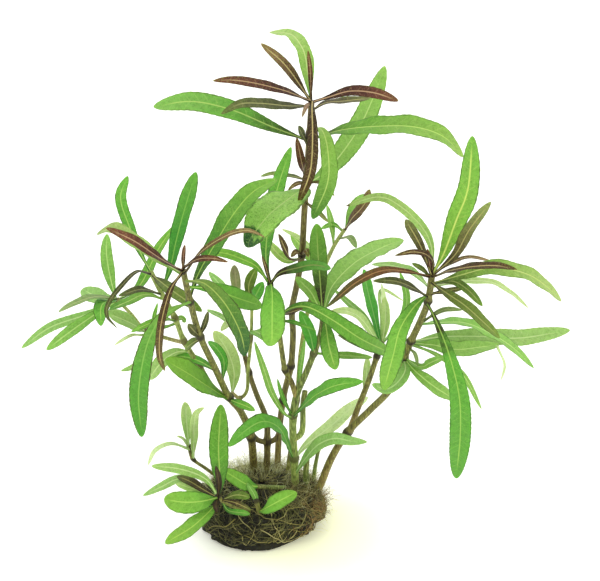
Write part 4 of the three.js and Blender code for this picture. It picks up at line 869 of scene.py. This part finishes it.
def leaf_material(finish):
    """A leaf's skin: base to tip colours, clouds, side veins, pale midrib and dark margin."""
    look = LOOKS[finish]
    graph = Graph("leaf_" + finish)
    span, times, mix = graph.span, graph.times, graph.mix
    marks = ("along", "across", "rib", "vein", "under", "seed")
    along, across, rib, vein, under, seed = (graph.mark(name) for name in marks)
    reach = graph.math("ABSOLUTE", across)
    broad = graph.noise(BROAD_SCALE)
    cloud = graph.noise(CLOUD_SCALE, CLOUD_DETAIL)
    grain = graph.noise(GRAIN_SCALE)
    place = graph.moved(along, broad, PLACE_SHIFT)
    stops = [(look["base_to"], "base"), (look["middle_at"], "middle"), (1.0, "tip")]
    colour = graph.ramp(place, [(share, tinted(look[part])) for share, part in stops])
    if look["end"]:
        blotch = span(place, look["end_from"], look["end_from"] + END_FADE)
        colour = mix(blotch, colour, tinted(look["end"]))
    colour = mix(span(cloud, *MOTTLE_BAND, 0.0, look["mottle"]), colour, linear(look["shade"]), "MULTIPLY")
    colour = mix(span(grain, *SPECK_BAND, 0.0, look["speck"] * LIGHT_SPECK), colour, tinted(look["rib"]))
    colour = mix(span(grain, *DOT_BAND, look["speck"], 0.0), colour, linear(look["shade"]), "MULTIPLY")
    line = span(graph.math("PINGPONG", vein, 0.5), *VEIN_LINE, 1.0, 0.0)
    line = times(line, span(reach, *VEIN_FADE, 1.0, 0.0))
    line = times(line, span(broad, *VEIN_PATCH))
    colour = mix(times(line, look["veins"]), colour, tinted(look["rib"]))
    edge = span(graph.moved(reach, cloud, EDGE_WANDER), *EDGE_BAND)
    edge = times(edge, span(broad, *EDGE_PATCH))
    colour = mix(times(edge, look["edge"]), colour, tinted(look["margin"]))
    midrib = span(graph.math("ABSOLUTE", rib), RIB_CORE, look["rib_width"], 1.0, 0.0)
    midrib = times(midrib, span(along, *RIB_FADE, 1.0, 0.0))
    colour = mix(times(midrib, look["rib_share"]), colour, tinted(look["rib"]))
    colour = mix(times(under, UNDER_PALENESS), colour, tinted(look["below"]))
    colour = graph.vary(colour, seed, LEAF_HUE_SPREAD, LEAF_VALUE_SPREAD)
    roughness = span(grain, *GRAIN_BAND, *LEAF_ROUGHNESS)
    height = graph.math("MULTIPLY_ADD", line, VEIN_RELIEF, times(grain, GRAIN_RELIEF))
    height = graph.math("MULTIPLY_ADD", cloud, CLOUD_RELIEF, height)
    return graph.surface(colour, roughness, height, *LEAF_SURFACE)


def stem_material(finish):
    """A stem's skin: a tan foot, olive length and darker rings at the nodes, with fine streaks."""
    look = STEM_LOOKS[finish]
    graph = Graph(finish)
    along, node, seed = graph.mark("along"), graph.mark("node"), graph.mark("seed")
    streak = graph.noise(STREAK_SCALE, CLOUD_DETAIL, STREAK_SQUEEZE)
    cloud = graph.noise(STEM_CLOUD_SCALE)
    stops = [(share, tinted(text)) for share, text in look["stops"]]
    colour = graph.ramp(graph.moved(along, cloud, STEM_SHIFT), stops)
    colour = graph.mix(graph.span(streak, *PALE_STREAK), colour, tinted(look["streak"]))
    colour = graph.mix(graph.span(streak, *DARK_STREAK), colour, tinted(look["node"]))
    ring = graph.times(graph.span(node, *RING_BAND), look["ring"])
    colour = graph.mix(ring, colour, tinted(look["node"]))
    colour = graph.vary(colour, seed, STEM_HUE_SPREAD, STEM_VALUE_SPREAD)
    height = graph.math("MULTIPLY_ADD", streak, STREAK_RELIEF, graph.times(cloud, STEM_CLOUD_RELIEF))
    roughness = graph.span(streak, *GRAIN_BAND, *STEM_ROUGHNESS)
    return graph.surface(colour, roughness, height, *STEM_SURFACE)


def plug_material(finish):
    """Damp matted growing fibre: near black crumbs with olive-brown strands."""
    graph = Graph(finish)
    crumb = graph.cells(CRUMB_CELLS)
    fibre = graph.noise(FIBRE_SCALE, FIBRE_DETAIL)
    patch = graph.noise(PATCH_SCALE, CLOUD_DETAIL)
    colour = graph.ramp(fibre, [(share, linear(text)) for share, text in PLUG_TONES])
    colour = graph.mix(graph.span(patch, *PATCH_BAND), colour, linear(PATCH_TONE))
    colour = graph.mix(graph.span(crumb, *CRUMB_BAND), colour, linear(CRUMB_TONE))
    roughness = graph.span(fibre, *GRAIN_BAND, *PLUG_ROUGHNESS)
    height = graph.math("MULTIPLY_ADD", crumb, CRUMB_RELIEF, fibre)
    return graph.surface(colour, roughness, height, *PLUG_SURFACE)


def root_material(finish):
    """Roots by their seed, from dark through olive-tan to straw, streaked along."""
    graph = Graph(finish)
    grain = graph.noise(ROOT_STREAK_SCALE, CLOUD_DETAIL)
    tone = graph.moved(graph.mark("seed"), graph.noise(ROOT_CLOUD_SCALE), ROOT_SHIFT)
    colour = graph.ramp(tone, [(share, linear(text)) for share, text in ROOT_TONES[finish]])
    dark = graph.span(grain, *ROOT_STREAK, 0.0, ROOT_GRAIN[finish])
    dark = graph.times(dark, graph.span(graph.mark("along"), 0.0, 1.0, 1.0, ROOT_STREAK_END))
    colour = graph.mix(dark, colour, linear(ROOT_SHADE), "MULTIPLY")
    return graph.surface(colour, ROOT_ROUGHNESS, grain, *ROOT_SURFACE)


MAKERS = {
    **dict.fromkeys(LOOKS, leaf_material), **dict.fromkeys(STEM_LOOKS, stem_material),
    **dict.fromkeys(ROOT_TONES, root_material), "plug": plug_material,
}
MATERIALS = {}


def material_for(finish):
    if finish not in MATERIALS:
        MATERIALS[finish] = MAKERS[finish](finish)
    return MATERIALS[finish]


def clamp(value, low=0.0, high=1.0):
    return min(max(value, low), high)


def blend(low, high, share):
    return low + (high - low) * share


def smooth(low, high, value):
    share = clamp((value - low) / (high - low))
    return share * share * (3 - 2 * share)


def around(angle):
    """The level direction at an angle round the plug."""
    return Vector((math.cos(angle), math.sin(angle), 0))


TOWARDS_CAMERA = Vector((0, -math.cos(VIEW_ELEVATION), math.sin(VIEW_ELEVATION)))
CAMERA_PLACE = PHOTO_CENTRE + TOWARDS_CAMERA * VIEW_DISTANCE


def spot(place):
    """The point that a pixel of the photograph shows at a depth. The crowns are deepened."""
    across, down, nominal_near = place
    height = clamp((CROWN_DEPTH_FROM - down) / CROWN_DEPTH_OVER)
    near = nominal_near * (1 + CROWN_DEPTH_GAIN * height)
    scale = MM_PER_PIXEL / VIEW_DISTANCE
    right = (across - PHOTO_MIDDLE_ACROSS) * scale
    up = (PHOTO_MIDDLE_DOWN - down) * scale
    sine = math.sin(VIEW_ELEVATION)
    cosine = math.cos(VIEW_ELEVATION)
    ray = Vector((right, cosine + sine * up, cosine * up - sine))
    return CAMERA_PLACE + ray * ((-near - CAMERA_PLACE.y) / ray.y)


class Curve:
    """A smooth curve through points, found by share of its spans or of its length."""

    SAMPLES = 24

    def __init__(self, points):
        self.spans = len(points) - 1
        self.points = [points[0] * 2 - points[1], *points, points[-1] * 2 - points[-2]]
        count = self.spans * self.SAMPLES
        places = [self.point(i / count) for i in range(count + 1)]
        self.walked = [0.0]
        for before, after in zip(places, places[1:]):
            self.walked.append(self.walked[-1] + (after - before).length)
        self.length = self.walked[-1]

    def span(self, share):
        """The span at a share, as its start, slope, bend and twist, and the place in it."""
        place = clamp(share) * self.spans
        index = min(int(place), self.spans - 1)
        a, b, c, d = self.points[index:index + 4]
        return b, c - a, 2 * a - 5 * b + 4 * c - d, 3 * b - a - 3 * c + d, place - index

    def point(self, share):
        start, slope, bend, twist, t = self.span(share)
        return 0.5 * (2 * start + slope * t + bend * t ** 2 + twist * t ** 3)

    def tangent(self, share):
        _, slope, bend, twist, t = self.span(share)
        return (slope + 2 * bend * t + 3 * twist * t ** 2).normalized()

    def by_length(self, share):
        """The share of the spans at a share of the length."""
        goal = share * self.length
        low, high = 0, len(self.walked) - 1
        while high - low > 1:
            middle = (low + high) // 2
            if self.walked[middle] > goal:
                high = middle
            else:
                low = middle
        step = self.walked[high] - self.walked[low]
        return (low + (goal - self.walked[low]) / max(step, 1e-9)) / (len(self.walked) - 1)


def add_object(name, data):
    thing = bpy.data.objects.new(name, data)
    bpy.context.scene.collection.objects.link(thing)
    return thing


class Shape:
    """Points, faces and what the materials read of them, gathered for one piece."""

    def __init__(self):
        self.points = []
        self.faces = []
        self.finishes = []
        self.finish_of_face = []
        self.marks = {mark: [] for mark in MARKS}

    def loft(self, rings, finish):
        """A closed skin over rings of (point, marks); a ring of one point closes to a tip."""
        if finish not in self.finishes:
            self.finishes.append(finish)
        starts = []
        for ring in rings:
            starts.append(len(self.points))
            for point, marks in ring:
                self.points.append(point)
                for mark in MARKS:
                    self.marks[mark].append(marks.get(mark, 0.0))
        faces = [tuple(reversed(range(starts[0], starts[0] + len(rings[0]))))]
        for here, there, ring, after in zip(starts, starts[1:], rings, rings[1:]):
            for i in range(len(ring)):
                j = (i + 1) % len(ring)
                if len(after) == 1:
                    faces.append((here + i, here + j, there))
                else:
                    faces.append((here + i, here + j, there + j, there + i))
        if len(rings[-1]) > 1:
            faces.append(tuple(range(starts[-1], starts[-1] + len(rings[-1]))))
        self.faces += faces
        self.finish_of_face += [self.finishes.index(finish)] * len(faces)

    def make(self, name):
        mesh = bpy.data.meshes.new(name)
        mesh.from_pydata([point * MM for point in self.points], [], self.faces)
        for finish in self.finishes:
            mesh.materials.append(material_for(finish))
        mesh.polygons.foreach_set("material_index", self.finish_of_face)
        mesh.polygons.foreach_set("use_smooth", [True] * len(self.faces))
        for mark, values in self.marks.items():
            mesh.attributes.new(mark, "FLOAT", "POINT").data.foreach_set("value", values)
        mesh.update()
        return add_object(name, mesh)


def tube(shape, curve, radius_at, sides, steps, finish, marks_at, tip=False):
    """A round skin along a curve; radius_at and marks_at take the share of the spans."""
    rings = []
    side = Vector((1, 0, 0)) if abs(curve.tangent(0).x) < SIDEWAYS else Vector((0, 1, 0))
    for step in range(steps + 1):
        share = step / steps
        tangent = curve.tangent(share)
        side = (side - tangent * side.dot(tangent)).normalized()
        across = tangent.cross(side)
        middle = curve.point(share)
        marks = marks_at(share)
        if tip and step == steps:
            rings.append([(middle, marks)])
            break
        ring = []
        for i in range(sides):
            angle = math.tau * i / sides
            radius = radius_at(share, angle)
            point = middle + side * (radius * math.cos(angle)) + across * (radius * math.sin(angle))
            ring.append((point, marks))
        rings.append(ring)
    shape.loft(rings, finish)


def stem_curve(item):
    """A stem's middle line; one without a parent starts down in the plug."""
    points = [spot(place) for place in item["path"]]
    if item["parent"] is None:
        foot = points[0]
        rooted = Vector((foot.x * ROOTED_LEAN, foot.y * ROOTED_LEAN, foot.z - ROOTED_DEPTH))
        points.insert(0, rooted)
    return Curve(points)


def add_stem(shape, item, finish, seed):
    """A tapered, faintly four-ridged stem with a swollen ring at each of its nodes."""
    curve = stem_curve(item)
    added = 1 if item["parent"] is None else 0
    nodes = [(index + added) / curve.spans for index in item["nodes"]]
    foot, top = item["radii"]
    reach = NODE_LENGTH / curve.length

    def nearness(share):
        return max((math.exp(-((share - node) / reach) ** 2) for node in nodes), default=0.0)

    def radius_at(share, angle):
        ridges = 1 + STEM_RIDGE * math.cos(RIDGES * angle)
        return blend(foot, top, share) * (1 + NODE_SWELL * nearness(share)) * ridges

    def marks_at(share):
        return {"along": share, "node": nearness(share), "seed": seed}

    tube(shape, curve, radius_at, STEM_SIDES, curve.spans * STEM_STEPS, finish, marks_at)
    return curve


def swell(along, peak):
    """Share of a blade's full width at a share of its length: a long taper, then a blunt tip."""
    if along <= peak:
        return math.sin(math.pi / 2 * along / peak) ** BASE_TAPER
    return (1 - ((along - peak) / (1 - peak)) ** TIP_POWER) ** TIP_ROOT


def half_width(item, curve, face_at):
    """Half a blade's full width, so that it is seen as wide as it was read off the photograph."""
    place = curve.by_length(0.5)
    tangent = curve.tangent(place)
    side = face_at(tangent).cross(tangent)
    view = CAMERA_PLACE - curve.point(place)
    distance = view.dot(TOWARDS_CAMERA)
    view.normalize()
    along = (tangent - view * view.dot(tangent)).normalized()
    seen = max(LEAST_FACING, abs(side.dot(view.cross(along))))
    return item["width"] * MM_PER_PIXEL / 2 * distance / VIEW_DISTANCE / seen


def add_leaf(shape, on, item, small, seed):
    """A thin two-sided blade along its midrib: folded, grooved, keeled and waved."""
    draw = random.Random(f"{SEED} {on} {item['name']}")
    base_near = item["path"][0][2]
    deepened = [(u, v, base_near + (near - base_near) * LEAF_DEPTH_GAIN) for u, v, near in item["path"]]
    curve = Curve([spot(place) for place in deepened])
    turn = item["turn"] if item["turn"] is not None else ROLL_SPREAD * math.sin(ROLL_STEP * item["width"])
    facing = TOWARDS_CAMERA + Vector((0, 0, SKYWARD))

    def face_at(tangent, sway=0.0):
        normal = (facing - tangent * facing.dot(tangent)).normalized()
        return Quaternion(tangent, math.radians(turn + sway)) @ normal

    full_half = half_width(item, curve, face_at)
    rib_gain = max(1.0, RIB_FULL_HALF / full_half)
    columns = SMALL_COLUMNS if small else BLADE_COLUMNS
    across = [*columns, *(-x for x in reversed(columns[:-1]))]
    count = max(LEAST_RINGS, round(curve.length / (SMALL_RING_STEP if small else RING_STEP)))
    wave_length = EDGE_WAVE_LENGTH * draw.uniform(*WAVE_LENGTH_SPREAD)
    sway_phase, right_phase, left_phase = (draw.uniform(0, math.tau) for _ in range(3))
    rings = []
    for along in [i / count for i in range(count)] + [1 - step / count for step in TIP_STEPS]:
        place = curve.by_length(along)
        tangent = curve.tangent(place)
        bulge = math.sin(math.pi * along)
        normal = face_at(tangent, SWAY_DEGREES * math.sin(SWAY_WAVES * along + sway_phase) * bulge)
        side = normal.cross(tangent)
        middle = curve.point(place)
        walked = along * curve.length
        half = max(PETIOLE_WIDTH / 2 * (1 - PETIOLE_TAPER * along), full_half * swell(along, item["peak"]))
        stalk = 1 - smooth(0, PETIOLE_SHARE, along)
        thick = blend(blend(BLADE_THICKNESS, TIP_THICKNESS, along), PETIOLE_THICKNESS, stalk)
        calm = bulge * clamp(half / CALM_HALF)

        def skin(x, under):
            reach = abs(x)
            phase = right_phase if x > 0 else left_phase
            tooth = TOOTH_DEPTH * math.sin(math.tau * walked / TOOTH_LENGTH + phase)
            out = x * half * (1 + tooth * smooth(TOOTH_FROM, 1, reach))
            middle_line = math.exp(-(out / RIB_SPREAD) ** 2)
            rise = half * BLADE_FOLD * reach ** FOLD_POWER
            rise += EDGE_WAVE * calm * reach ** 2 * math.sin(math.tau * walked / wave_length + phase)
            depth = thick / 2 * (1 - EDGE_THINNING * reach ** 3)
            if under:
                height = rise - depth - KEEL_DEPTH * middle_line * (1 - along) ** KEEL_POWER * (1 - stalk)
            else:
                height = rise + depth - GROOVE_DEPTH * middle_line * (1 - stalk)
            marks = {
                "along": along, "across": x, "rib": out * rib_gain, "under": float(under), "seed": seed,
                "vein": (walked - VEIN_SLOPE * abs(out)) / VEIN_SPACING + VEIN_START,
            }
            return middle + side * out + normal * height, marks

        rings.append([skin(x, False) for x in across] + [skin(x, True) for x in reversed(across)])
    tip_marks = {"along": 1.0, "seed": seed, "vein": curve.length / VEIN_SPACING + VEIN_START}
    rings.append([(curve.point(1), tip_marks)])
    shape.loft(rings, item["look"])


PLUG_CURVE = Curve([Vector((share, height, 0)) for height, share in PLUG_LEVELS])


def plug_spot(angle, up, lift=0.0):
    """A point of the plug's skin: the angle round it and the share of its outline upwards."""
    share, height, _ = PLUG_CURVE.point(PLUG_CURVE.by_length(clamp(up)))
    share = max(share, 0.0)
    lump = sum(
        part * math.sin(waves * angle + twist * height + start) for waves, twist, start, part in PLUG_WAVES
    )
    worn = WORN_DEPTH * max(0.0, math.cos(angle + WORN_TURN)) * max(0.0, 1 - height / WORN_HEIGHT)
    front = math.sqrt(max(0.0, -math.sin(angle + FOOT_TURN)))
    spread = FOOT_SPREAD * front * max(0.0, 1 - height / FOOT_HEIGHT)
    foot = (spread - worn) * smooth(0, SPREAD_SHARE, share)
    radius = max(0.0, (PLUG_RADIUS + PLUG_LUMP * lump) * share + foot)
    rise = PLUG_RISE * math.sin(PLUG_RISE_WAVES * angle + height)
    rise = rise * smooth(0, RISE_HEIGHT, height) * smooth(0, RISE_SHARE, share)
    skin = Vector((radius * math.cos(angle), radius * math.sin(angle), height + rise))
    rough = noise.fractal(skin * CRUMB_SCALE, *CRUMB_NOISE) * CRUMB_DEPTH
    rough += noise.noise(skin * LUMP_SCALE) * LUMP_DEPTH
    ropes = Vector((ROPE_TURNS * math.cos(angle), ROPE_TURNS * math.sin(angle), ROPE_SCALE * height))
    rough += noise.noise(ropes) * ROPE_DEPTH * (1 - smooth(*ROPE_END, height))
    steep = 1 - smooth(*STEEP_END, up)
    direction = around(angle) * steep + Vector((0, 0, 1)) * (TOP_LEAN - steep)
    point = skin + direction.normalized() * (rough * smooth(0, ROUGH_HEIGHT, height) + lift)
    point.z = max(point.z, 0.0 if lift <= 0 else lift * LEAST_LIFT)
    return point


def add_plug(shape):
    rings = []
    for level in range(PLUG_RINGS):
        up = level / PLUG_RINGS
        angles = [math.tau * i / PLUG_COLUMNS for i in range(PLUG_COLUMNS)]
        rings.append([(plug_spot(angle, up), {"along": up}) for angle in angles])
    rings.append([(plug_spot(0.0, 1.0), {"along": 1.0})])
    shape.loft(rings, "plug")


def add_root(shape, points, radius, sides, finish, seed, steps_per_span=2):
    curve = Curve(points)

    def radius_at(share, _angle):
        return radius * (1 - ROOT_TAPER * share)

    def marks_at(share):
        return {"along": share, "seed": seed}

    tube(shape, curve, radius_at, sides, curve.spans * steps_per_span, finish, marks_at, tip=True)


def walk(draw, angle, up, heading, length, lift, wander):
    """A root's way over the plug's skin, from a place and in a heading, up being positive."""
    points = []
    steps = max(LEAST_WALK_STEPS, round(length / ROOT_STEP))
    for step in range(steps + 1):
        bow = lift * (BOW_START + (1 - BOW_START) * math.sin(math.pi * (step / steps)))
        points.append(plug_spot(angle, up, bow + draw.uniform(*LIFT_JITTER)))
        radius = max(LEAST_WALK_RADIUS, math.hypot(points[-1].x, points[-1].y))
        angle += ROOT_STEP * math.cos(heading) / radius
        up = clamp(up + ROOT_STEP * math.sin(heading) / PLUG_CURVE.length, ROOT_LOWEST, ROOT_HIGHEST)
        heading += draw.uniform(-wander, wander)
        if up in (ROOT_LOWEST, ROOT_HIGHEST):
            heading = -heading
    return points


def add_matted_roots(shape):
    """Roots that wander over the plug, most of them along its rim and down its side."""
    draw = random.Random(SEED)
    for _ in range(ROOT_COUNT):
        angle = draw.uniform(0, math.tau)
        up = draw.betavariate(*ROOT_PLACES)
        heading = draw.choice((0, math.pi)) + draw.gauss(0, ROOT_SCATTER)
        length = draw.uniform(*ROOT_LENGTH)
        points = walk(draw, angle, up, heading, length, draw.uniform(*ROOT_BOW), ROOT_WANDER)
        tone = clamp(ROOT_TONE_LOW + ROOT_TONE_RISE * up + draw.gauss(0, ROOT_TONE_SPREAD))
        add_root(shape, points, draw.uniform(*ROOT_RADIUS), ROOT_SIDES, "root", tone)


def pick(draw, options):
    """One of the options; where there is just one, nothing is drawn."""
    return draw.choice(options) if len(options) > 1 else options[0]


def add_arching_roots(shape):
    """A few pale roots that arch over the front, and the rust coloured bundle at the right."""
    draw = random.Random(SEED + 1)
    for finish, count, sides, turn, headings, scatter, wander, *limits, radii in ARCHING_ROOTS:
        for _ in range(count):
            angle = draw.gauss(*turn)
            heading = pick(draw, headings) + draw.gauss(0, scatter)
            up, length, bow = (draw.uniform(*pair) for pair in limits)
            points = walk(draw, angle, up, heading, length, bow, wander)
            add_root(shape, points, draw.uniform(*radii), sides, finish, draw.random())


def add_foot_roots(shape, item, curve):
    """Short roots that leave a stem's foot on all sides and run down into the plug."""
    draw = random.Random(f"{SEED} {item['name']} roots")
    foot = curve.point(1 / curve.spans)
    for _ in range(FOOT_ROOT_COUNT):
        out = around(draw.uniform(0, math.tau))
        reach = draw.uniform(*FOOT_ROOT_REACH)
        start = foot + out * item["radii"][0] * FOOT_ROOT_INSET
        start.z += draw.uniform(*FOOT_ROOT_START)
        end = foot + out * reach
        over = math.hypot(end.x, end.y)
        if over > PLUG_RADIUS * FOOT_ROOT_RIM:
            end *= PLUG_RADIUS * FOOT_ROOT_RIM / over
        sink = FOOT_ROOT_SINK * smooth(FOOT_ROOT_SINK_FROM, PLUG_RADIUS, over)
        end.z = PLUG_HEIGHT - FOOT_ROOT_DEPTH - sink + draw.uniform(*FOOT_ROOT_JITTER)
        middle = start.lerp(end, FOOT_ROOT_MIDDLE) + Vector((0, 0, draw.uniform(*FOOT_ROOT_BOW)))
        radius = draw.uniform(*FOOT_ROOT_RADIUS)
        tone = draw.uniform(*FOOT_ROOT_TONE)
        add_root(shape, [start, middle, end], radius, ROOT_SIDES, "root", tone, FOOT_ROOT_STEPS)


def add_hairs(shape):
    """Fine root hairs, thick and pale behind the stems, tan along the right edge, thin elsewhere."""
    draw = random.Random(SEED + 2)
    for _ in range(HAIR_COUNT):
        kind, tone = draw.random(), draw.random()
        _, centre, spread, heights, finishes = next(row for row in HAIR_KINDS if kind < row[0])
        angle = draw.gauss(centre, spread) if spread else draw.uniform(0, math.tau)
        up = draw.uniform(*heights)
        finish = pick(draw, finishes)
        if finish == "root":
            tone = blend(HAIR_ROOT_TONE, 1, tone)
        start = plug_spot(angle, up, -HAIR_INSET)
        lean = around(angle) * draw.uniform(*HAIR_LEAN)
        rise = HAIR_RISE + HAIR_RISE_UP * up
        lean += Vector((draw.gauss(0, HAIR_SPREAD), draw.gauss(0, HAIR_SPREAD), rise))
        lean.normalize()
        length = draw.uniform(*HAIR_LENGTH)
        middle = start + lean * length * HAIR_MIDDLE
        droop = Vector((draw.gauss(0, HAIR_SPREAD), draw.gauss(0, HAIR_SPREAD), draw.uniform(*HAIR_DROOP)))
        end = middle + (lean * HAIR_KEEP + droop).normalized() * length * HAIR_END
        end.z = max(end.z, HAIR_LOWEST)
        radius = draw.uniform(*HAIR_RADIUS)
        add_root(shape, [start, middle, end], radius, HAIR_SIDES, finish, tone, HAIR_STEPS)


def dress(shape, name, slot, *nodes):
    """One piece of the plant: its mesh, the body it rides on and the solids it stands for."""
    piece = shape.make(name)
    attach(piece, "root")
    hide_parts(*nodes)


draw_seed = random.Random(SEED + 3)
slots = {part["node"]: part["material_slot"] for part in frame["record"]["subparts"]}

for on, blades in LEAVES.items():
    for item in blades:
        blade = Shape()
        add_leaf(blade, on, item, False, draw_seed.random())
        node = "leaf_" + item["name"]
        dress(blade, "blade_" + item["name"], slots[node], node)

plug_body = Shape()
add_plug(plug_body)
roots = Shape()

for item in STEMS:
    cluster = Shape()
    curve = add_stem(cluster, item, item["look"], draw_seed.random())
    if item["parent"] is None:
        add_foot_roots(roots, item, curve)
    for cut_end in SHOOTS:
        if cut_end["on"] == item["name"]:
            add_stem(cluster, cut_end, item["look"], draw_seed.random())
    for small in SMALL_LEAVES[item["name"]]:
        add_leaf(cluster, item["name"], small, True, draw_seed.random())
    node = "stem_" + item["name"]
    dress(cluster, "shoot_" + item["name"], slots[node], node)

for cut_end in SHOOTS:
    if cut_end["on"] == "root_plug":
        add_stem(plug_body, cut_end, "stem_green", draw_seed.random())
dress(plug_body, "plug_body", "root_plug", "root_plug")

add_matted_roots(roots)
add_arching_roots(roots)
dress(roots, "plug_roots", "root_plug")

hairs = Shape()
add_hairs(hairs)
dress(hairs, "plug_hairs", "root_plug")


def add_area(name, place, size, power, colour):
    light = bpy.data.lights.new(name, "AREA")
    light.shape = "DISK"
    light.size = size
    light.energy = power
    light.color = colour
    lamp = add_object(name, light)
    lamp.location = place
    aim = PHOTO_CENTRE * MM - Vector(place)
    lamp.rotation_mode = "QUATERNION"
    lamp.rotation_quaternion = aim.to_track_quat("-Z", "Y")


def add_floor():
    """A pale disc that fades into the surroundings, with a painted yellow glow round the plug; the disc also
    glows faintly itself, painted light as well.
    """
    mesh = bpy.data.meshes.new("floor")
    rim = [around(math.tau * i / FLOOR_SIDES) * FLOOR_RADIUS for i in range(FLOOR_SIDES)]
    mesh.from_pydata(rim, [], [tuple(range(FLOOR_SIDES))])
    graph = Graph("floor")
    cloud = graph.noise(FLOOR_CLOUDS)
    colour = graph.mix(graph.span(cloud, *GRAIN_BAND), *(linear(tone) for tone in FLOOR_TONES))
    # Painted glow: the floor turns pale yellow near the plug
    away = graph.add("VectorMath", {0: graph.place, 1: GLOW_PLACE}, operation="DISTANCE")
    glow = graph.span(away.outputs["Value"], *GLOW_REACH, GLOW_SHARE, 0.0)
    colour = graph.mix(glow, colour, linear(PAINTED_GLOW_TONE))
    # The floor glows faintly: painted light
    more = {"Emission Color": colour, "Emission Strength": FLOOR_PAINTED_GLOW}
    mesh.materials.append(graph.surface(colour, FLOOR_ROUGHNESS, cloud, *FLOOR_SURFACE, more))
    add_object("floor", mesh)


def add_surroundings():
    world = bpy.data.worlds.new("studio")
    world.use_nodes = True
    background = world.node_tree.nodes["Background"]
    background.inputs["Color"].default_value = WORLD_COLOUR
    background.inputs["Strength"].default_value = WORLD_STRENGTH
    bpy.context.scene.world = world
    bpy.context.scene.view_settings.view_transform = "Standard"


def add_camera():
    data = bpy.data.cameras.new("camera")
    data.sensor_fit = "HORIZONTAL"
    data.sensor_width = SENSOR_WIDTH
    data.lens = SENSOR_WIDTH * VIEW_DISTANCE / FRAME_WIDTH
    data.clip_start = CLIP_START
    data.clip_end = CLIP_END
    camera = add_object("camera", data)
    camera.location = CAMERA_PLACE * MM
    camera.rotation_euler = (math.pi / 2 - VIEW_ELEVATION, 0, 0)
    bpy.context.scene.camera = camera


add_floor()
add_surroundings()
for light in LIGHTS:
    add_area(*light)
add_camera()
